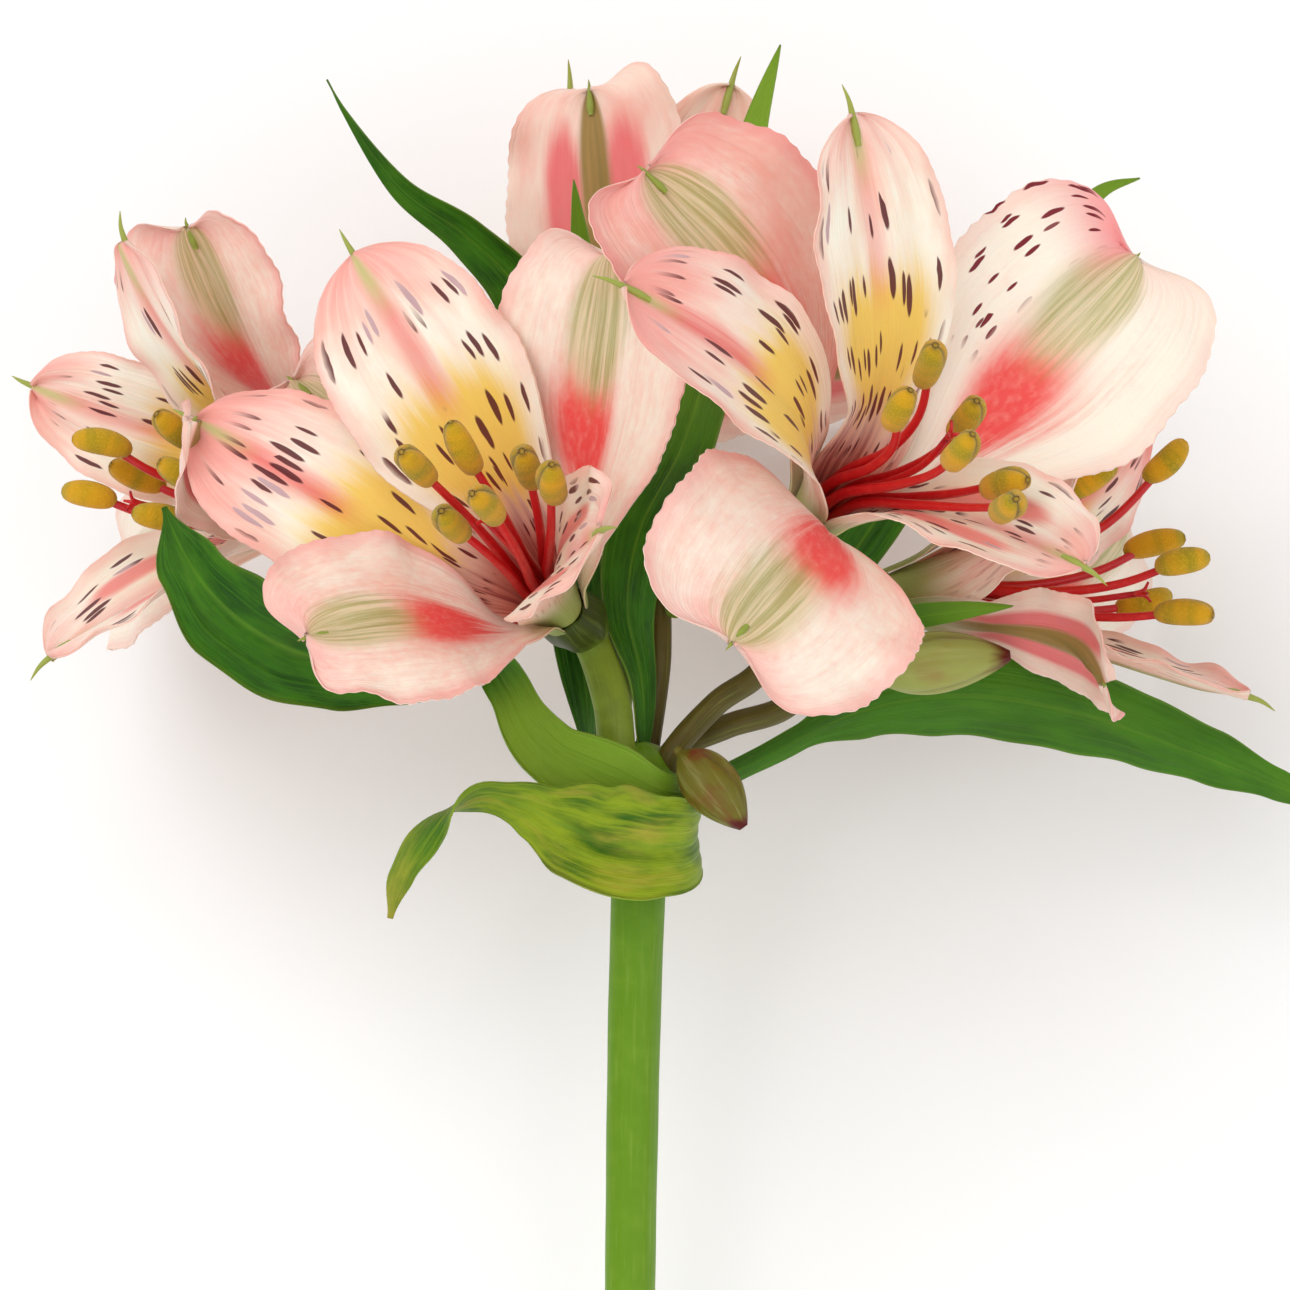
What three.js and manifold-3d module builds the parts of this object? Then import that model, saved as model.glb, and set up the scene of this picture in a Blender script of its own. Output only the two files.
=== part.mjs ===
// A cut alstroemeria stem that lies on a table: one bare stem, a whorl of leaves,
// four rays, five flowers and two buds. Millimetres, +Z up, the stem along Y.
//
// Everything is first modelled in the plant's own frame, as if it stood in a vase:
// the point where the rays leave the stem is the origin, +Y runs up the stem and
// +Z comes out towards the showiest flowers. At the end the plant is laid down.
import * as THREE from "three";
import Module from "manifold-3d";

const wasm = await Module();
wasm.setup();

// Main stem
const STEM_LENGTH = 118;
const STEM_RADIUS_CUT = 2.3;
const STEM_RADIUS_TOP = 2.9;
const CUT_SLANT = 1.6;
const RECEPTACLE_RADIUS = 4.2;
const RECEPTACLE_LENGTH = 5;

// How the plant lies: tipped back on its flowers and on the cut end of its stem
const LIE_TILT = THREE.MathUtils.degToRad(15.1);
const LIE_ROLL = THREE.MathUtils.degToRad(4.1);

// Sheets and gaps
const TEPAL_THICKNESS = 0.5;
const LEAF_THICKNESS = 0.6;
const GAP = 0.35;

// Flower
const OUTER_LENGTH = 43;
const OUTER_WIDTH = 27;
const INNER_LENGTH = 44;
const INNER_WIDTH = 17;
const OUTER_RING = 4.4;
const INNER_RING = 3.1;
const OVARY_RADIUS = 3.2;
const OVARY_LENGTH = 8;
const FILAMENT_LENGTH = 34;
const FILAMENT_RADIUS = 0.5;
const FILAMENT_RING = 1.5;
const ANTHER_LENGTH = 6.5;
const ANTHER_RADIUS = 1.6;
const STYLE_LENGTH = 29;
const STYLE_RADIUS = 0.4;
const PEDICEL_RADIUS = 1.3;

const vec = (x, y, z) => new THREE.Vector3(x, y, z);
const rad = THREE.MathUtils.degToRad;
const mix = THREE.MathUtils.lerp;
const ease = THREE.MathUtils.smoothstep;

// ---------------------------------------------------------------- solids

// A closed body from loops of points, each loop with as many points as the next.
function loft(loops) {
  const around = loops[0].length;
  const points = loops.flat();
  const faces = [];
  for (let i = 0; i + 1 < loops.length; i++) {
    for (let j = 0; j < around; j++) {
      const a = i * around + j;
      const b = i * around + ((j + 1) % around);
      faces.push([a, b, b + around], [a, b + around, a + around]);
    }
  }
  const cap = (loop, first, flip) => {
    const middle = points.length;
    points.push(loop.reduce((sum, p) => sum.add(p), vec(0, 0, 0)).divideScalar(around));
    for (let j = 0; j < around; j++) {
      const a = first + j;
      const b = first + ((j + 1) % around);
      faces.push(flip ? [b, a, middle] : [a, b, middle]);
    }
  };
  cap(loops[0], 0, true);
  cap(loops.at(-1), (loops.length - 1) * around, false);
  const geometry = new THREE.BufferGeometry().setFromPoints(points);
  geometry.setIndex(faces.flat());
  return facingOut(geometry);
}

// Turns the faces of a closed body round if they point inwards.
function facingOut(geometry) {
  const solid = solidOf(geometry);
  const index = geometry.getIndex();
  if (solid.volume() < 0) {
    for (let i = 0; i < index.count; i += 3) {
      const swap = index.getX(i);
      index.setX(i, index.getX(i + 1));
      index.setX(i + 1, swap);
    }
  }
  return geometry;
}

function solidOf(geometry) {
  return new wasm.Manifold(
    new wasm.Mesh({
      numProp: 3,
      vertProperties: new Float32Array(geometry.getAttribute("position").array),
      triVerts: new Uint32Array(geometry.getIndex().array),
    }),
  );
}

// Several closed bodies that touch, joined into one.
function joined(geometries) {
  const mesh = geometries
    .map(solidOf)
    .reduce((whole, next) => whole.add(next))
    .getMesh();
  const geometry = new THREE.BufferGeometry();
  geometry.setAttribute("position", new THREE.BufferAttribute(mesh.vertProperties, 3));
  geometry.setIndex(new THREE.BufferAttribute(mesh.triVerts, 1));
  return geometry;
}

// A round body along a path, with its radius at each share of the way.
function tube(path, radiusAt, sides, steps) {
  const curve = new THREE.CatmullRomCurve3(path, false, "centripetal");
  const frames = curve.computeFrenetFrames(steps, false);
  const loops = [];
  for (let i = 0; i <= steps; i++) {
    const centre = curve.getPointAt(i / steps);
    const r = radiusAt(i / steps);
    loops.push(ring(centre, frames.normals[i], frames.binormals[i], r, sides));
  }
  return loft(loops);
}

function ring(centre, u, v, r, sides) {
  return Array.from({ length: sides }, (_, k) => {
    const turn = (2 * Math.PI * k) / sides;
    return centre.clone().addScaledVector(u, r * Math.cos(turn)).addScaledVector(v, r * Math.sin(turn));
  });
}

// A thin sheet from stations along its midrib. A station has its point, the way
// across, the way it faces, its half width and how far its edges rise. Where it has
// a lobe, its points off the midrib reach that much further along.
function sheet(stations, columns, thickness) {
  const across = Array.from({ length: columns }, (_, j) => (2 * j) / (columns - 1) - 1);
  const rows = stations.map((s) =>
    across.map((t) => {
      const lobe = s.lobe ? s.lobe * (1 + s.skew * t) * (1 - Math.exp(-(((t * s.half) / s.notch) ** 2))) : 0;
      return s.point
        .clone()
        .addScaledVector(s.across, t * s.half)
        .addScaledVector(s.facing, t * t * s.rise)
        .addScaledVector(s.along ?? s.across, lobe);
    }),
  );
  const loops = rows.map((row, i) => {
    const ahead = rows[Math.min(i + 1, rows.length - 1)];
    const behind = rows[Math.max(i - 1, 0)];
    const normals = row.map((_, j) => {
      const along = ahead[j].clone().sub(behind[j]);
      const side = row[Math.min(j + 1, columns - 1)].clone().sub(row[Math.max(j - 1, 0)]);
      return side.cross(along).normalize();
    });
    const face = (k) => row.map((p, j) => p.clone().addScaledVector(normals[j], k * thickness));
    return [...face(0.5), ...face(-0.5).reverse()];
  });
  return loft(loops);
}

// ---------------------------------------------------------------- flowers

// The half width of a tepal at a share s of its length, as a share of its widest.
function outerOutline(s) {
  const claw = 0.1 + 0.9 * ease(s, 0.1, 0.66);
  return s < 0.66 ? claw : Math.sqrt(Math.max(0.002, 1 - ((s - 0.66) / 0.34) ** 2.6));
}

function innerOutline(s) {
  const claw = 0.14 + 0.86 * ease(s, 0.06, 0.62);
  return s < 0.7 ? claw : Math.sqrt(Math.max(0.003, 1 - ((s - 0.7) / 0.3) ** 2));
}

// A flower's frame: the axis it faces along, the way its top tepal points, and
// the third way, which completes them.
function flowerFrame(flower) {
  const axis = flower.axis.clone().normalize();
  const top = flower.top.clone().addScaledVector(axis, -flower.top.dot(axis)).normalize();
  return { base: flower.base, axis, top, side: top.clone().cross(axis) };
}

const SPINE_STEPS = 48;
// Shares of a tepal's length where its sheet has a row of points
const TEPAL_ROWS = [0, 5, 11, 17, 23, 29, 35, 40, 44, 47];

// The stations of a tepal: it leans from the flower's axis by claw, then flare,
// then tip degrees, and goes round the axis from its place to its turn.
function tepalStations(frame, t) {
  const outward = (turn) =>
    frame.top.clone().multiplyScalar(Math.cos(turn)).addScaledVector(frame.side, Math.sin(turn));
  const outline = t.kind === "outer" ? outerOutline : innerOutline;
  const place = outward(rad(t.place));
  let point = frame.base.clone().addScaledVector(place, t.ring).addScaledVector(frame.axis, GAP);
  const stations = [];
  for (let i = 0; i < SPINE_STEPS; i++) {
    const s = i / SPINE_STEPS;
    const lean = rad(mix(mix(t.claw, t.flare, ease(s, 0.05, 0.6)), t.tip, ease(s, 0.5, 1)));
    const out = outward(rad(mix(t.place, t.turn, ease(s, 0, 0.4))));
    const along = frame.axis.clone().multiplyScalar(Math.cos(lean)).addScaledVector(out, Math.sin(lean));
    const roll = rad(t.roll * ease(s, 0.1, 0.8));
    const flatAcross = frame.axis.clone().cross(out);
    const flatFacing = flatAcross.clone().cross(along).negate();
    const across = flatAcross.clone().multiplyScalar(Math.cos(roll)).addScaledVector(flatFacing, Math.sin(roll));
    const facing = flatFacing.clone().multiplyScalar(Math.cos(roll)).addScaledVector(flatAcross, -Math.sin(roll));
    if (TEPAL_ROWS.includes(i)) {
      const half = (outline(s) * t.width) / 2;
      const rise = half * mix(t.cup, t.brim, ease(s, 0.3, 0.95));
      const lobe = t.lobe * ease(s, 0.55, 0.95);
      stations.push({ point, across, facing, half, rise, along, lobe, skew: t.skew, notch: NOTCH_SHARE * t.width });
    }
    point = point.clone().addScaledVector(along, t.length / SPINE_STEPS);
  }
  return stations;
}

// How far from the midrib a tepal's lobes begin, as a share of its width
const NOTCH_SHARE = 0.2;

const TEPAL_KINDS = {
  outer: { ring: OUTER_RING, length: OUTER_LENGTH, width: OUTER_WIDTH, claw: 16, flare: 56, tip: 74, cup: 0.12, brim: 0.1, lobe: 3.5 },
  inner: { ring: INNER_RING, length: INNER_LENGTH, width: INNER_WIDTH, claw: 9, flare: 44, tip: 62, cup: 0.4, brim: 0.08, lobe: 0 },
};

// The six tepals of a flower by name, each with the place it grows at and the
// turn round the axis that it opens to
const TEPAL_PLACES = [
  ["top_outer", "outer", 0, 0],
  ["right_outer", "outer", 120, 100],
  ["left_outer", "outer", -120, -100],
  ["right_inner", "inner", 60, 42],
  ["left_inner", "inner", -60, -42],
  ["low_inner", "inner", 180, 180],
];

function tepals(name, flower) {
  const frame = flowerFrame(flower);
  return TEPAL_PLACES.map(([tepal, kind, place, turn]) => {
    const own = { kind, place, turn, roll: 0, skew: 0, ...TEPAL_KINDS[kind], ...flower.tepals[tepal] };
    const stations = tepalStations(frame, own);
    return piece(`${name}_${tepal}_tepal`, sheet(stations, 5, TEPAL_THICKNESS), "tepal");
  });
}

// A filament or style leaves along the axis, sinks towards the low tepal and
// then lifts its end.
function declining(frame, start, length, droop, spread) {
  const path = [0, 0.25, 0.5, 0.75, 1].map((s) =>
    start
      .clone()
      .addScaledVector(frame.axis, length * (s - 0.12 * s * s))
      .addScaledVector(frame.top, length * (spread.y * s * s - droop * ease(s, 0.1, 0.75)))
      .addScaledVector(frame.side, spread.x * length * s * s),
  );
  return path;
}

function stamens(name, flower) {
  const frame = flowerFrame(flower);
  const parts = [nectaryRing(frame)];
  flower.anthers.forEach((spread, k) => {
    const turn = (2 * Math.PI * (k + 0.5)) / flower.anthers.length;
    const start = frame.base
      .clone()
      .addScaledVector(frame.top, FILAMENT_RING * Math.cos(turn))
      .addScaledVector(frame.side, FILAMENT_RING * Math.sin(turn))
      .addScaledVector(frame.axis, GAP + 0.2);
    const path = declining(frame, start, FILAMENT_LENGTH * (spread.reach ?? 1), flower.droop, spread);
    parts.push(tube(path, () => FILAMENT_RADIUS, 4, 5));
    parts.push(anther(path.at(-1), frame, spread));
  });
  return piece(`${name}_stamens`, joined(parts), "stamen");
}

// A lentil of a body across the end of its filament
function anther(centre, frame, spread) {
  const along = frame.axis
    .clone()
    .multiplyScalar(0.8)
    .addScaledVector(frame.top, spread.y)
    .addScaledVector(frame.side, spread.x)
    .normalize();
  const path = [-0.5, 0, 0.5].map((s) => centre.clone().addScaledVector(along, s * ANTHER_LENGTH));
  return tube(path, (s) => ANTHER_RADIUS * Math.sqrt(Math.max(0.06, 4 * s * (1 - s))), 5, 4);
}

function nectaryRing(frame) {
  const inner = FILAMENT_RING - 0.45;
  const outer = FILAMENT_RING + 0.5;
  const profile = [
    [inner, 0],
    [outer, 0],
    [outer, 0.5],
    [inner, 0.5],
    [inner, 0],
  ].map(([x, y]) => new THREE.Vector2(x, y));
  const turned = new THREE.LatheGeometry(profile, 10);
  turned.deleteAttribute("normal");
  turned.deleteAttribute("uv");
  const basis = new THREE.Matrix4().makeBasis(frame.side, frame.axis, frame.top.clone());
  const centre = frame.base.clone().addScaledVector(frame.axis, GAP);
  turned.applyMatrix4(basis.setPosition(centre));
  return facingOut(mergeByPlace(turned));
}

// Joins the vertices that share a place, as a lathe leaves them apart at its seam.
function mergeByPlace(geometry) {
  const flat = geometry.toNonIndexed().getAttribute("position");
  const places = new Map();
  const points = [];
  const index = [];
  for (let i = 0; i < flat.count; i++) {
    const p = vec(flat.getX(i), flat.getY(i), flat.getZ(i));
    const key = p.toArray().map((c) => c.toFixed(3)).join();
    if (!places.has(key)) {
      places.set(key, points.length);
      points.push(p);
    }
    index.push(places.get(key));
  }
  const faces = [];
  for (let i = 0; i < index.length; i += 3) {
    const [a, b, c] = index.slice(i, i + 3);
    if (a !== b && b !== c && a !== c) faces.push(a, b, c);
  }
  return new THREE.BufferGeometry().setFromPoints(points).setIndex(faces);
}

function pistil(name, flower) {
  const frame = flowerFrame(flower);
  const start = frame.base.clone().addScaledVector(frame.axis, GAP);
  const path = declining(frame, start, STYLE_LENGTH, flower.droop, { x: 0, y: 0 });
  return piece(`${name}_pistil`, tube(path, (s) => STYLE_RADIUS * (1 + 0.9 * ease(s, 0.9, 1)), 5, 6), "style");
}

// A stalk from the top of the stem to a flower, swollen at its end to the ovary
function pedicel(name, flower) {
  const frame = flowerFrame(flower);
  const foot = frame.base.clone().addScaledVector(frame.axis, -OVARY_LENGTH);
  const path = [...flower.stalk, foot, frame.base.clone()];
  const length = new THREE.CatmullRomCurve3(path, false, "centripetal").getLength();
  const swell = (s) => {
    const left = (1 - s) * length;
    const belly = OVARY_RADIUS * Math.sqrt(Math.max(0, 1 - ((left - 0.4 * OVARY_LENGTH) / (0.66 * OVARY_LENGTH)) ** 2));
    return Math.max(flower.stalkRadius ?? PEDICEL_RADIUS, belly);
  };
  return piece(`${name}_pedicel`, tube(path, swell, 7, Math.max(10, Math.round(length / 3))), "stalk");
}

const FLOWERS = {
  front_left: {
    base: vec(-8.4, 16, 7.6),
    axis: vec(-0.4, 0.42, 0.8),
    top: vec(-0.8, 0.6, -0.5),
    stalk: [vec(-2.4, 0.8, 1.7), vec(-3, 6, 2)],
    stalkRadius: 2,
    droop: 0.17,
    anthers: [
      { x: 0.12, y: 0.2, reach: 0.9 },
      { x: 0.21, y: 0.05, reach: 0.8 },
      { x: 0.2, y: -0.09, reach: 0.9 },
      { x: 0.05, y: 0.01 },
      { x: -0.03, y: 0.11, reach: 0.86 },
      { x: 0.02, y: 0.23 },
    ],
    tepals: {
      top_outer: { turn: 2, claw: 22, flare: 66, tip: 78, width: 18, length: 35 },
      right_outer: { turn: 74, claw: 20, flare: 52, tip: 62, width: 24, length: 40 },
      left_outer: { turn: -68, claw: 16, flare: 34, tip: 58, width: 23, length: 33, lobe: 3.5, skew: -0.3 },
      right_inner: { turn: 22, flare: 50, tip: 64, width: 20 },
      left_inner: { turn: -8, claw: 15, flare: 62, tip: 72, width: 18 },
      low_inner: { turn: 160, flare: 38, tip: 46, length: 36 },
    },
  },
  front_right: {
    base: vec(17.6, 24.8, 13),
    axis: vec(0.42, 0.48, 0.78),
    top: vec(-0.5, 0.8, 0),
    stalk: [vec(3.4, 0.9, 1.7), vec(8, 6, 2), vec(13, 10, 3.6)],
    droop: 0.17,
    anthers: [
      { x: -0.01, y: 0.18 },
      { x: 0.12, y: 0.02, reach: 0.8 },
      { x: 0.04, y: -0.2, reach: 0.85 },
      { x: -0.08, y: -0.24 },
      { x: -0.07, y: -0.06 },
      { x: -0.13, y: 0.12, reach: 0.92 },
    ],
    tepals: {
      top_outer: { turn: -12, flare: 66, tip: 90, length: 43, width: 31, skew: 0.3 },
      right_inner: { turn: 12, flare: 46, length: 46 },
      left_inner: { turn: -38, flare: 58, tip: 84, length: 46, width: 19 },
      right_outer: { turn: 80, claw: 24, flare: 60, width: 29, lobe: 4.5 },
      left_outer: { turn: -103, flare: 68, tip: 104, length: 38, width: 30, lobe: 5 },
      low_inner: { turn: 180, flare: 42, tip: 60, length: 38 },
    },
  },
  back_left: {
    base: vec(-27.5, 26, -9),
    axis: vec(-0.93, 0.2, 0.28),
    top: vec(0.1, 1, 0),
    stalk: [vec(-2.6, 0.9, -2.9), vec(-2.2, 10, -7), vec(-7, 20, -10)],
    droop: 0.15,
    anthers: [
      { x: 0.12, y: 0.24, reach: 0.8 },
      { x: 0.25, y: 0.12, reach: 0.78 },
      { x: 0.15, y: 0, reach: 0.8 },
      { x: -0.08, y: 0.06 },
      { x: -0.18, y: 0.1, reach: 0.82 },
      { x: -0.05, y: 0.15 },
    ],
    tepals: {
      top_outer: { turn: 4, flare: 42, tip: 58, length: 35, width: 23, roll: 34 },
      right_outer: { turn: 58, flare: 15, tip: 86, length: 34, width: 12, lobe: 0 },
      left_outer: { turn: -110, flare: 64, tip: 100, width: 20, length: 38 },
      right_inner: { turn: 8, flare: 34, tip: 56, length: 42, width: 13, roll: 16 },
      left_inner: { turn: -74, flare: 24, tip: 40, length: 39, width: 14 },
      low_inner: { flare: 36, tip: 50, length: 38, width: 20, roll: -10 },
    },
  },
  back_top: {
    base: vec(-3.4, 30, -10),
    axis: vec(0.05, 0.74, -0.62),
    top: vec(-0.05, 0.65, 0.7),
    stalk: [vec(0.7, 0.9, -2.9), vec(2, 12, -3), vec(1, 20, -4.2)],
    droop: 0.15,
    anthers: [
      { x: 0.1, y: 0.2 },
      { x: 0.25, y: 0.1 },
      { x: 0.15, y: -0.05 },
      { x: -0.1, y: -0.05 },
      { x: -0.3, y: 0.1 },
      { x: -0.15, y: 0.2 },
    ],
    tepals: {
      top_outer: { turn: 8, flare: 40, tip: 34, width: 20, length: 39, skew: 0.4 },
      right_outer: { turn: 112, lobe: 0 },
      left_outer: { turn: -112, lobe: 0 },
      left_inner: { turn: -25, flare: 36, tip: 40, width: 15 },
      right_inner: { turn: 6, flare: 20, tip: 30, width: 12 },
      low_inner: { flare: 26, tip: 34, length: 40 },
    },
  },
  back_right: {
    base: vec(26.5, 17.2, -9),
    axis: vec(0.97, 0.12, 0.15),
    top: vec(0, 1, 0.1),
    stalk: [vec(3.4, 0.9, -2.2), vec(9, 3.5, -2), vec(16, 6.2, -4.6)],
    droop: 0.1,
    anthers: [
      { x: 0.1, y: 0.36 },
      { x: 0.24, y: 0.15, reach: 0.9 },
      { x: 0.15, y: -0.01, reach: 0.85 },
      { x: -0.08, y: -0.01, reach: 1.02 },
      { x: -0.1, y: 0.11, reach: 1.04 },
      { x: -0.1, y: 0.44, reach: 0.76 },
    ],
    tepals: {
      top_outer: { turn: 12, flare: 44, tip: 60, width: 18, length: 36 },
      right_outer: { turn: 74, flare: 56, tip: 76, width: 20, length: 36 },
      left_outer: { turn: -112, flare: 36, tip: 80, width: 12, length: 33 },
      right_inner: { turn: 56, flare: 44, tip: 66, width: 14, length: 36 },
      left_inner: { turn: -22, flare: 44, tip: 62, width: 13, length: 34 },
      low_inner: { turn: 180, flare: 22, tip: 24, width: 12, length: 38 },
    },
  },
};

// ---------------------------------------------------------------- leaves

// The half width of a leaf at a share s of its length, as a share of its widest.
function leafOutline(s, foot, slim) {
  const swell = Math.sin(Math.PI * s ** 0.8) ** slim;
  return Math.max(0.05, mix(foot * (1 - s), 1, swell));
}

// The half width at a share s, from widths at even steps
function halfWidthAt(widths, s) {
  const step = s * (widths.length - 1);
  const before = Math.min(Math.floor(step), widths.length - 2);
  return mix(widths[before], widths[before + 1], ease(step - before, 0, 1)) / 2;
}

// A leaf along a path. Each point of the path comes with the way across it. Its
// widths are its own, at even steps, or those of a plain leaf of one width.
function leaf(name, { points, across, width, widths, foot = 0.3, slim = 0.8, fold = 0.25, rows = 12 }) {
  const curve = new THREE.CatmullRomCurve3(points, false, "centripetal");
  const ways = new THREE.CatmullRomCurve3(across, false, "centripetal");
  const stations = [];
  for (let i = 0; i < rows; i++) {
    const s = (i / (rows - 1)) * 0.985;
    const along = curve.getTangentAt(s);
    const way = ways.getPoint(curve.getUtoTmapping(s));
    const side = way.addScaledVector(along, -way.dot(along)).normalize();
    const half = widths ? halfWidthAt(widths, s) : (leafOutline(s, foot, slim) * width) / 2;
    const facing = side.clone().cross(along);
    stations.push({ point: curve.getPointAt(s), across: side, facing, half, rise: fold * half });
  }
  return piece(name, sheet(stations, 3, LEAF_THICKNESS), "leaf");
}

const LEAVES = {
  left_leaf: {
    points: [vec(2.6, -4.4, 4.7), vec(-1.3, -3, 5.4), vec(-5.3, -1.2, 5.4), vec(-8.9, 0.8, 4.8), vec(-11.8, 4, 4), vec(-13.7, 7.6, 3), vec(-15.4, 9.9, 2.4), vec(-18.6, 10, 2), vec(-23.1, 9.6, 1.8), vec(-30.5, 10.2, 3.6), vec(-37.3, 12, 7.4), vec(-43.6, 16.4, 10.2), vec(-47.3, 21.5, 11), vec(-49.6, 26.6, 11)],
    across: [vec(0, 1, 0.1), vec(0, 1, 0.1), vec(0.3, 1, 0.1), vec(0.5, 0.9, 0.2), vec(0.9, 0.5, 0.3), vec(1, 0.4, 0.3), vec(0.7, 0.6, 0.6), vec(0.2, 0.7, 0.7), vec(0, 0.8, 0.6), vec(0, 0.9, 0.4), vec(0.2, 0.9, 0.3), vec(0.6, 0.8, 0.2), vec(0.9, 0.5, 0.3), vec(1, 0.2, 0.2)],
    widths: [6, 8.6, 6.6, 4.8, 5.4, 7.6, 9.8, 11.2, 10.6, 7, 0.6],
    rows: 18,
  },
  curled_leaf: {
    points: [vec(5.6, -7, -1.5), vec(4.9, -8.5, 3.6), vec(0.8, -8.8, 7.6), vec(-4.2, -8.2, 8.4), vec(-8.9, -6.2, 8), vec(-13.1, -4.2, 7), vec(-16.8, -3.6, 6.2), vec(-20.5, -5.6, 5.4), vec(-23.6, -9.3, 4.8), vec(-25.4, -13, 4.4), vec(-26.2, -16.6, 4)],
    across: [vec(0, 1, 0), vec(0.1, 1, 0.1), vec(0.1, 1, 0), vec(0, 1, -0.2), vec(0.2, 1, 0), vec(0.1, 0.9, 0.5), vec(0.2, 0.6, 0.8), vec(0.7, 0.3, 0.7), vec(0.9, -0.1, 0.5), vec(1, -0.1, 0.3), vec(1, 0, 0.2)],
    widths: [8, 9.4, 10.4, 12, 10.4, 6.4, 4.4, 4.4, 4.2, 2.8, 0.6],
    rows: 16,
  },
  right_leaf: {
    points: [vec(4.6, -3.6, -3.4), vec(12.6, 0, -8), vec(23, 5, -10.5), vec(34, 6.8, -10), vec(46, 5, -9), vec(58.8, 0.6, -8.5), vec(68, -3, -9), vec(74, -5.6, -9.5)],
    across: [vec(0, 1, 0), vec(-0.3, 1, 0.2), vec(0, 1, 0.3), vec(0, 1, 0.3), vec(0.2, 1, 0.3), vec(0.3, 1, 0.3), vec(0.4, 1, 0.3), vec(0.4, 1, 0.3)],
    widths: [2.4, 2.4, 2.8, 6.5, 9.5, 10, 9.5, 8, 6, 3.5, 0.6],
  },
  upper_left_leaf: {
    points: [vec(-4.8, -3.6, -1.8), vec(-5.2, 3, -3.2), vec(-6.2, 12, -4.8), vec(-7.4, 22, -4.4), vec(-8.6, 36, -2.8), vec(-12.5, 49, -3), vec(-18, 55, -3), vec(-25, 60, -2), vec(-31, 68, -1), vec(-33, 71.6, 0)],
    across: [vec(0.3, 0, 1), vec(0.6, 0, 0.9), vec(1, 0, 0.2), vec(1, 0.1, 0.2), vec(1, 0.2, 0.3), vec(0.7, 0.7, 0.3), vec(0.5, 0.8, 0.3), vec(0.6, 0.7, 0.3), vec(0.7, 0.6, 0.3), vec(0.8, 0.3, 0.3)],
    width: 7.5,
    foot: 0.2,
    slim: 1.3,
  },
  tall_leaf: {
    points: [vec(0.3, 0.9, 0.3), vec(0, 8, 0.2), vec(-1.4, 16, 0.2), vec(0, 24, 0), vec(4.5, 33, -1.5), vec(8, 45, -3), vec(10, 57, -4), vec(12.5, 68, -4), vec(14.8, 75.5, -4)],
    across: [vec(0.7, 0, -0.7), vec(0.7, 0, -0.7), vec(0.9, 0.2, -0.4), vec(1, -0.2, 0.2), vec(1, -0.4, 0.3), vec(1, -0.2, 0.3), vec(1, -0.1, 0.3), vec(1, -0.2, 0.2), vec(1, -0.3, 0.2)],
    width: 7,
    foot: 0.1,
  },
  upper_right_leaf: {
    points: [vec(13, 8.4, -0.6), vec(18, 15, -3), vec(26, 27, -3), vec(36, 42, -1), vec(44, 54, 1), vec(48.3, 59.6, 1.5), vec(52.5, 61.1, 2)],
    across: [vec(1, -0.8, 0.2), vec(1, -0.8, 0.2), vec(1, -0.8, 0.2), vec(1, -0.8, 0.2), vec(1, -0.8, 0.3), vec(0.6, -1, 0.3), vec(0.2, -1, 0.3)],
    width: 6,
  },
  inner_bract: {
    points: [vec(-0.4, 29, -2.4), vec(-2.4, 36, -3.2), vec(-5, 46, -1.6), vec(-6.3, 55, 0), vec(-7, 61, 1)],
    across: [vec(1, 0, 0), vec(1, 0.2, 0), vec(1, 0.2, 0.2), vec(1, 0.1, 0.2), vec(1, 0.1, 0.2)],
    width: 3.4,
    rows: 9,
  },
  ray_bract: {
    points: [vec(3.4, 15, -1.6), vec(4.2, 18.5, -1), vec(5, 21, -0.4)],
    across: [vec(1, -0.3, 0.2), vec(1, -0.3, 0.2), vec(1, -0.3, 0.2)],
    width: 2.6,
    rows: 6,
  },
  small_bract: {
    points: [vec(21, 12, -1.2), vec(27, 14.6, 2), vec(33, 15.6, 4.4), vec(39, 16.2, 6)],
    across: [vec(0, 1, 0.3), vec(0, 1, 0.3), vec(0, 1, 0.3), vec(0, 1, 0.3)],
    width: 2.6,
    rows: 8,
  },
};

// ---------------------------------------------------------------- buds

const BUDS = {
  right_bud: { points: [vec(17.6, 6.9, -1), vec(22.6, 9, 0.4), vec(30, 10.2, 1.6), vec(38.8, 11, 2.2)], radius: 3.3, neck: 0.3 },
  low_bud: { points: [vec(3.8, 1.2, 6), vec(7.2, -2.2, 8), vec(10.8, -6.9, 8.6)], radius: 3, neck: 0.05 },
};

// A closed bud on its own short stalk, which takes the share neck of its path
function bud(name, { points, radius, neck }) {
  const profile = (s) => {
    const t = Math.max(0, (s - neck) / (1 - neck));
    const belly = Math.sin(Math.PI * Math.min(1, t ** 0.85 * 0.97)) ** 0.8;
    return Math.max(neck > 0.1 && s < neck + 0.05 ? PEDICEL_RADIUS * 0.9 : 0.5, radius * belly);
  };
  return piece(name, tube(points, profile, 8, 12), "bud");
}

// ---------------------------------------------------------------- stem

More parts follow.
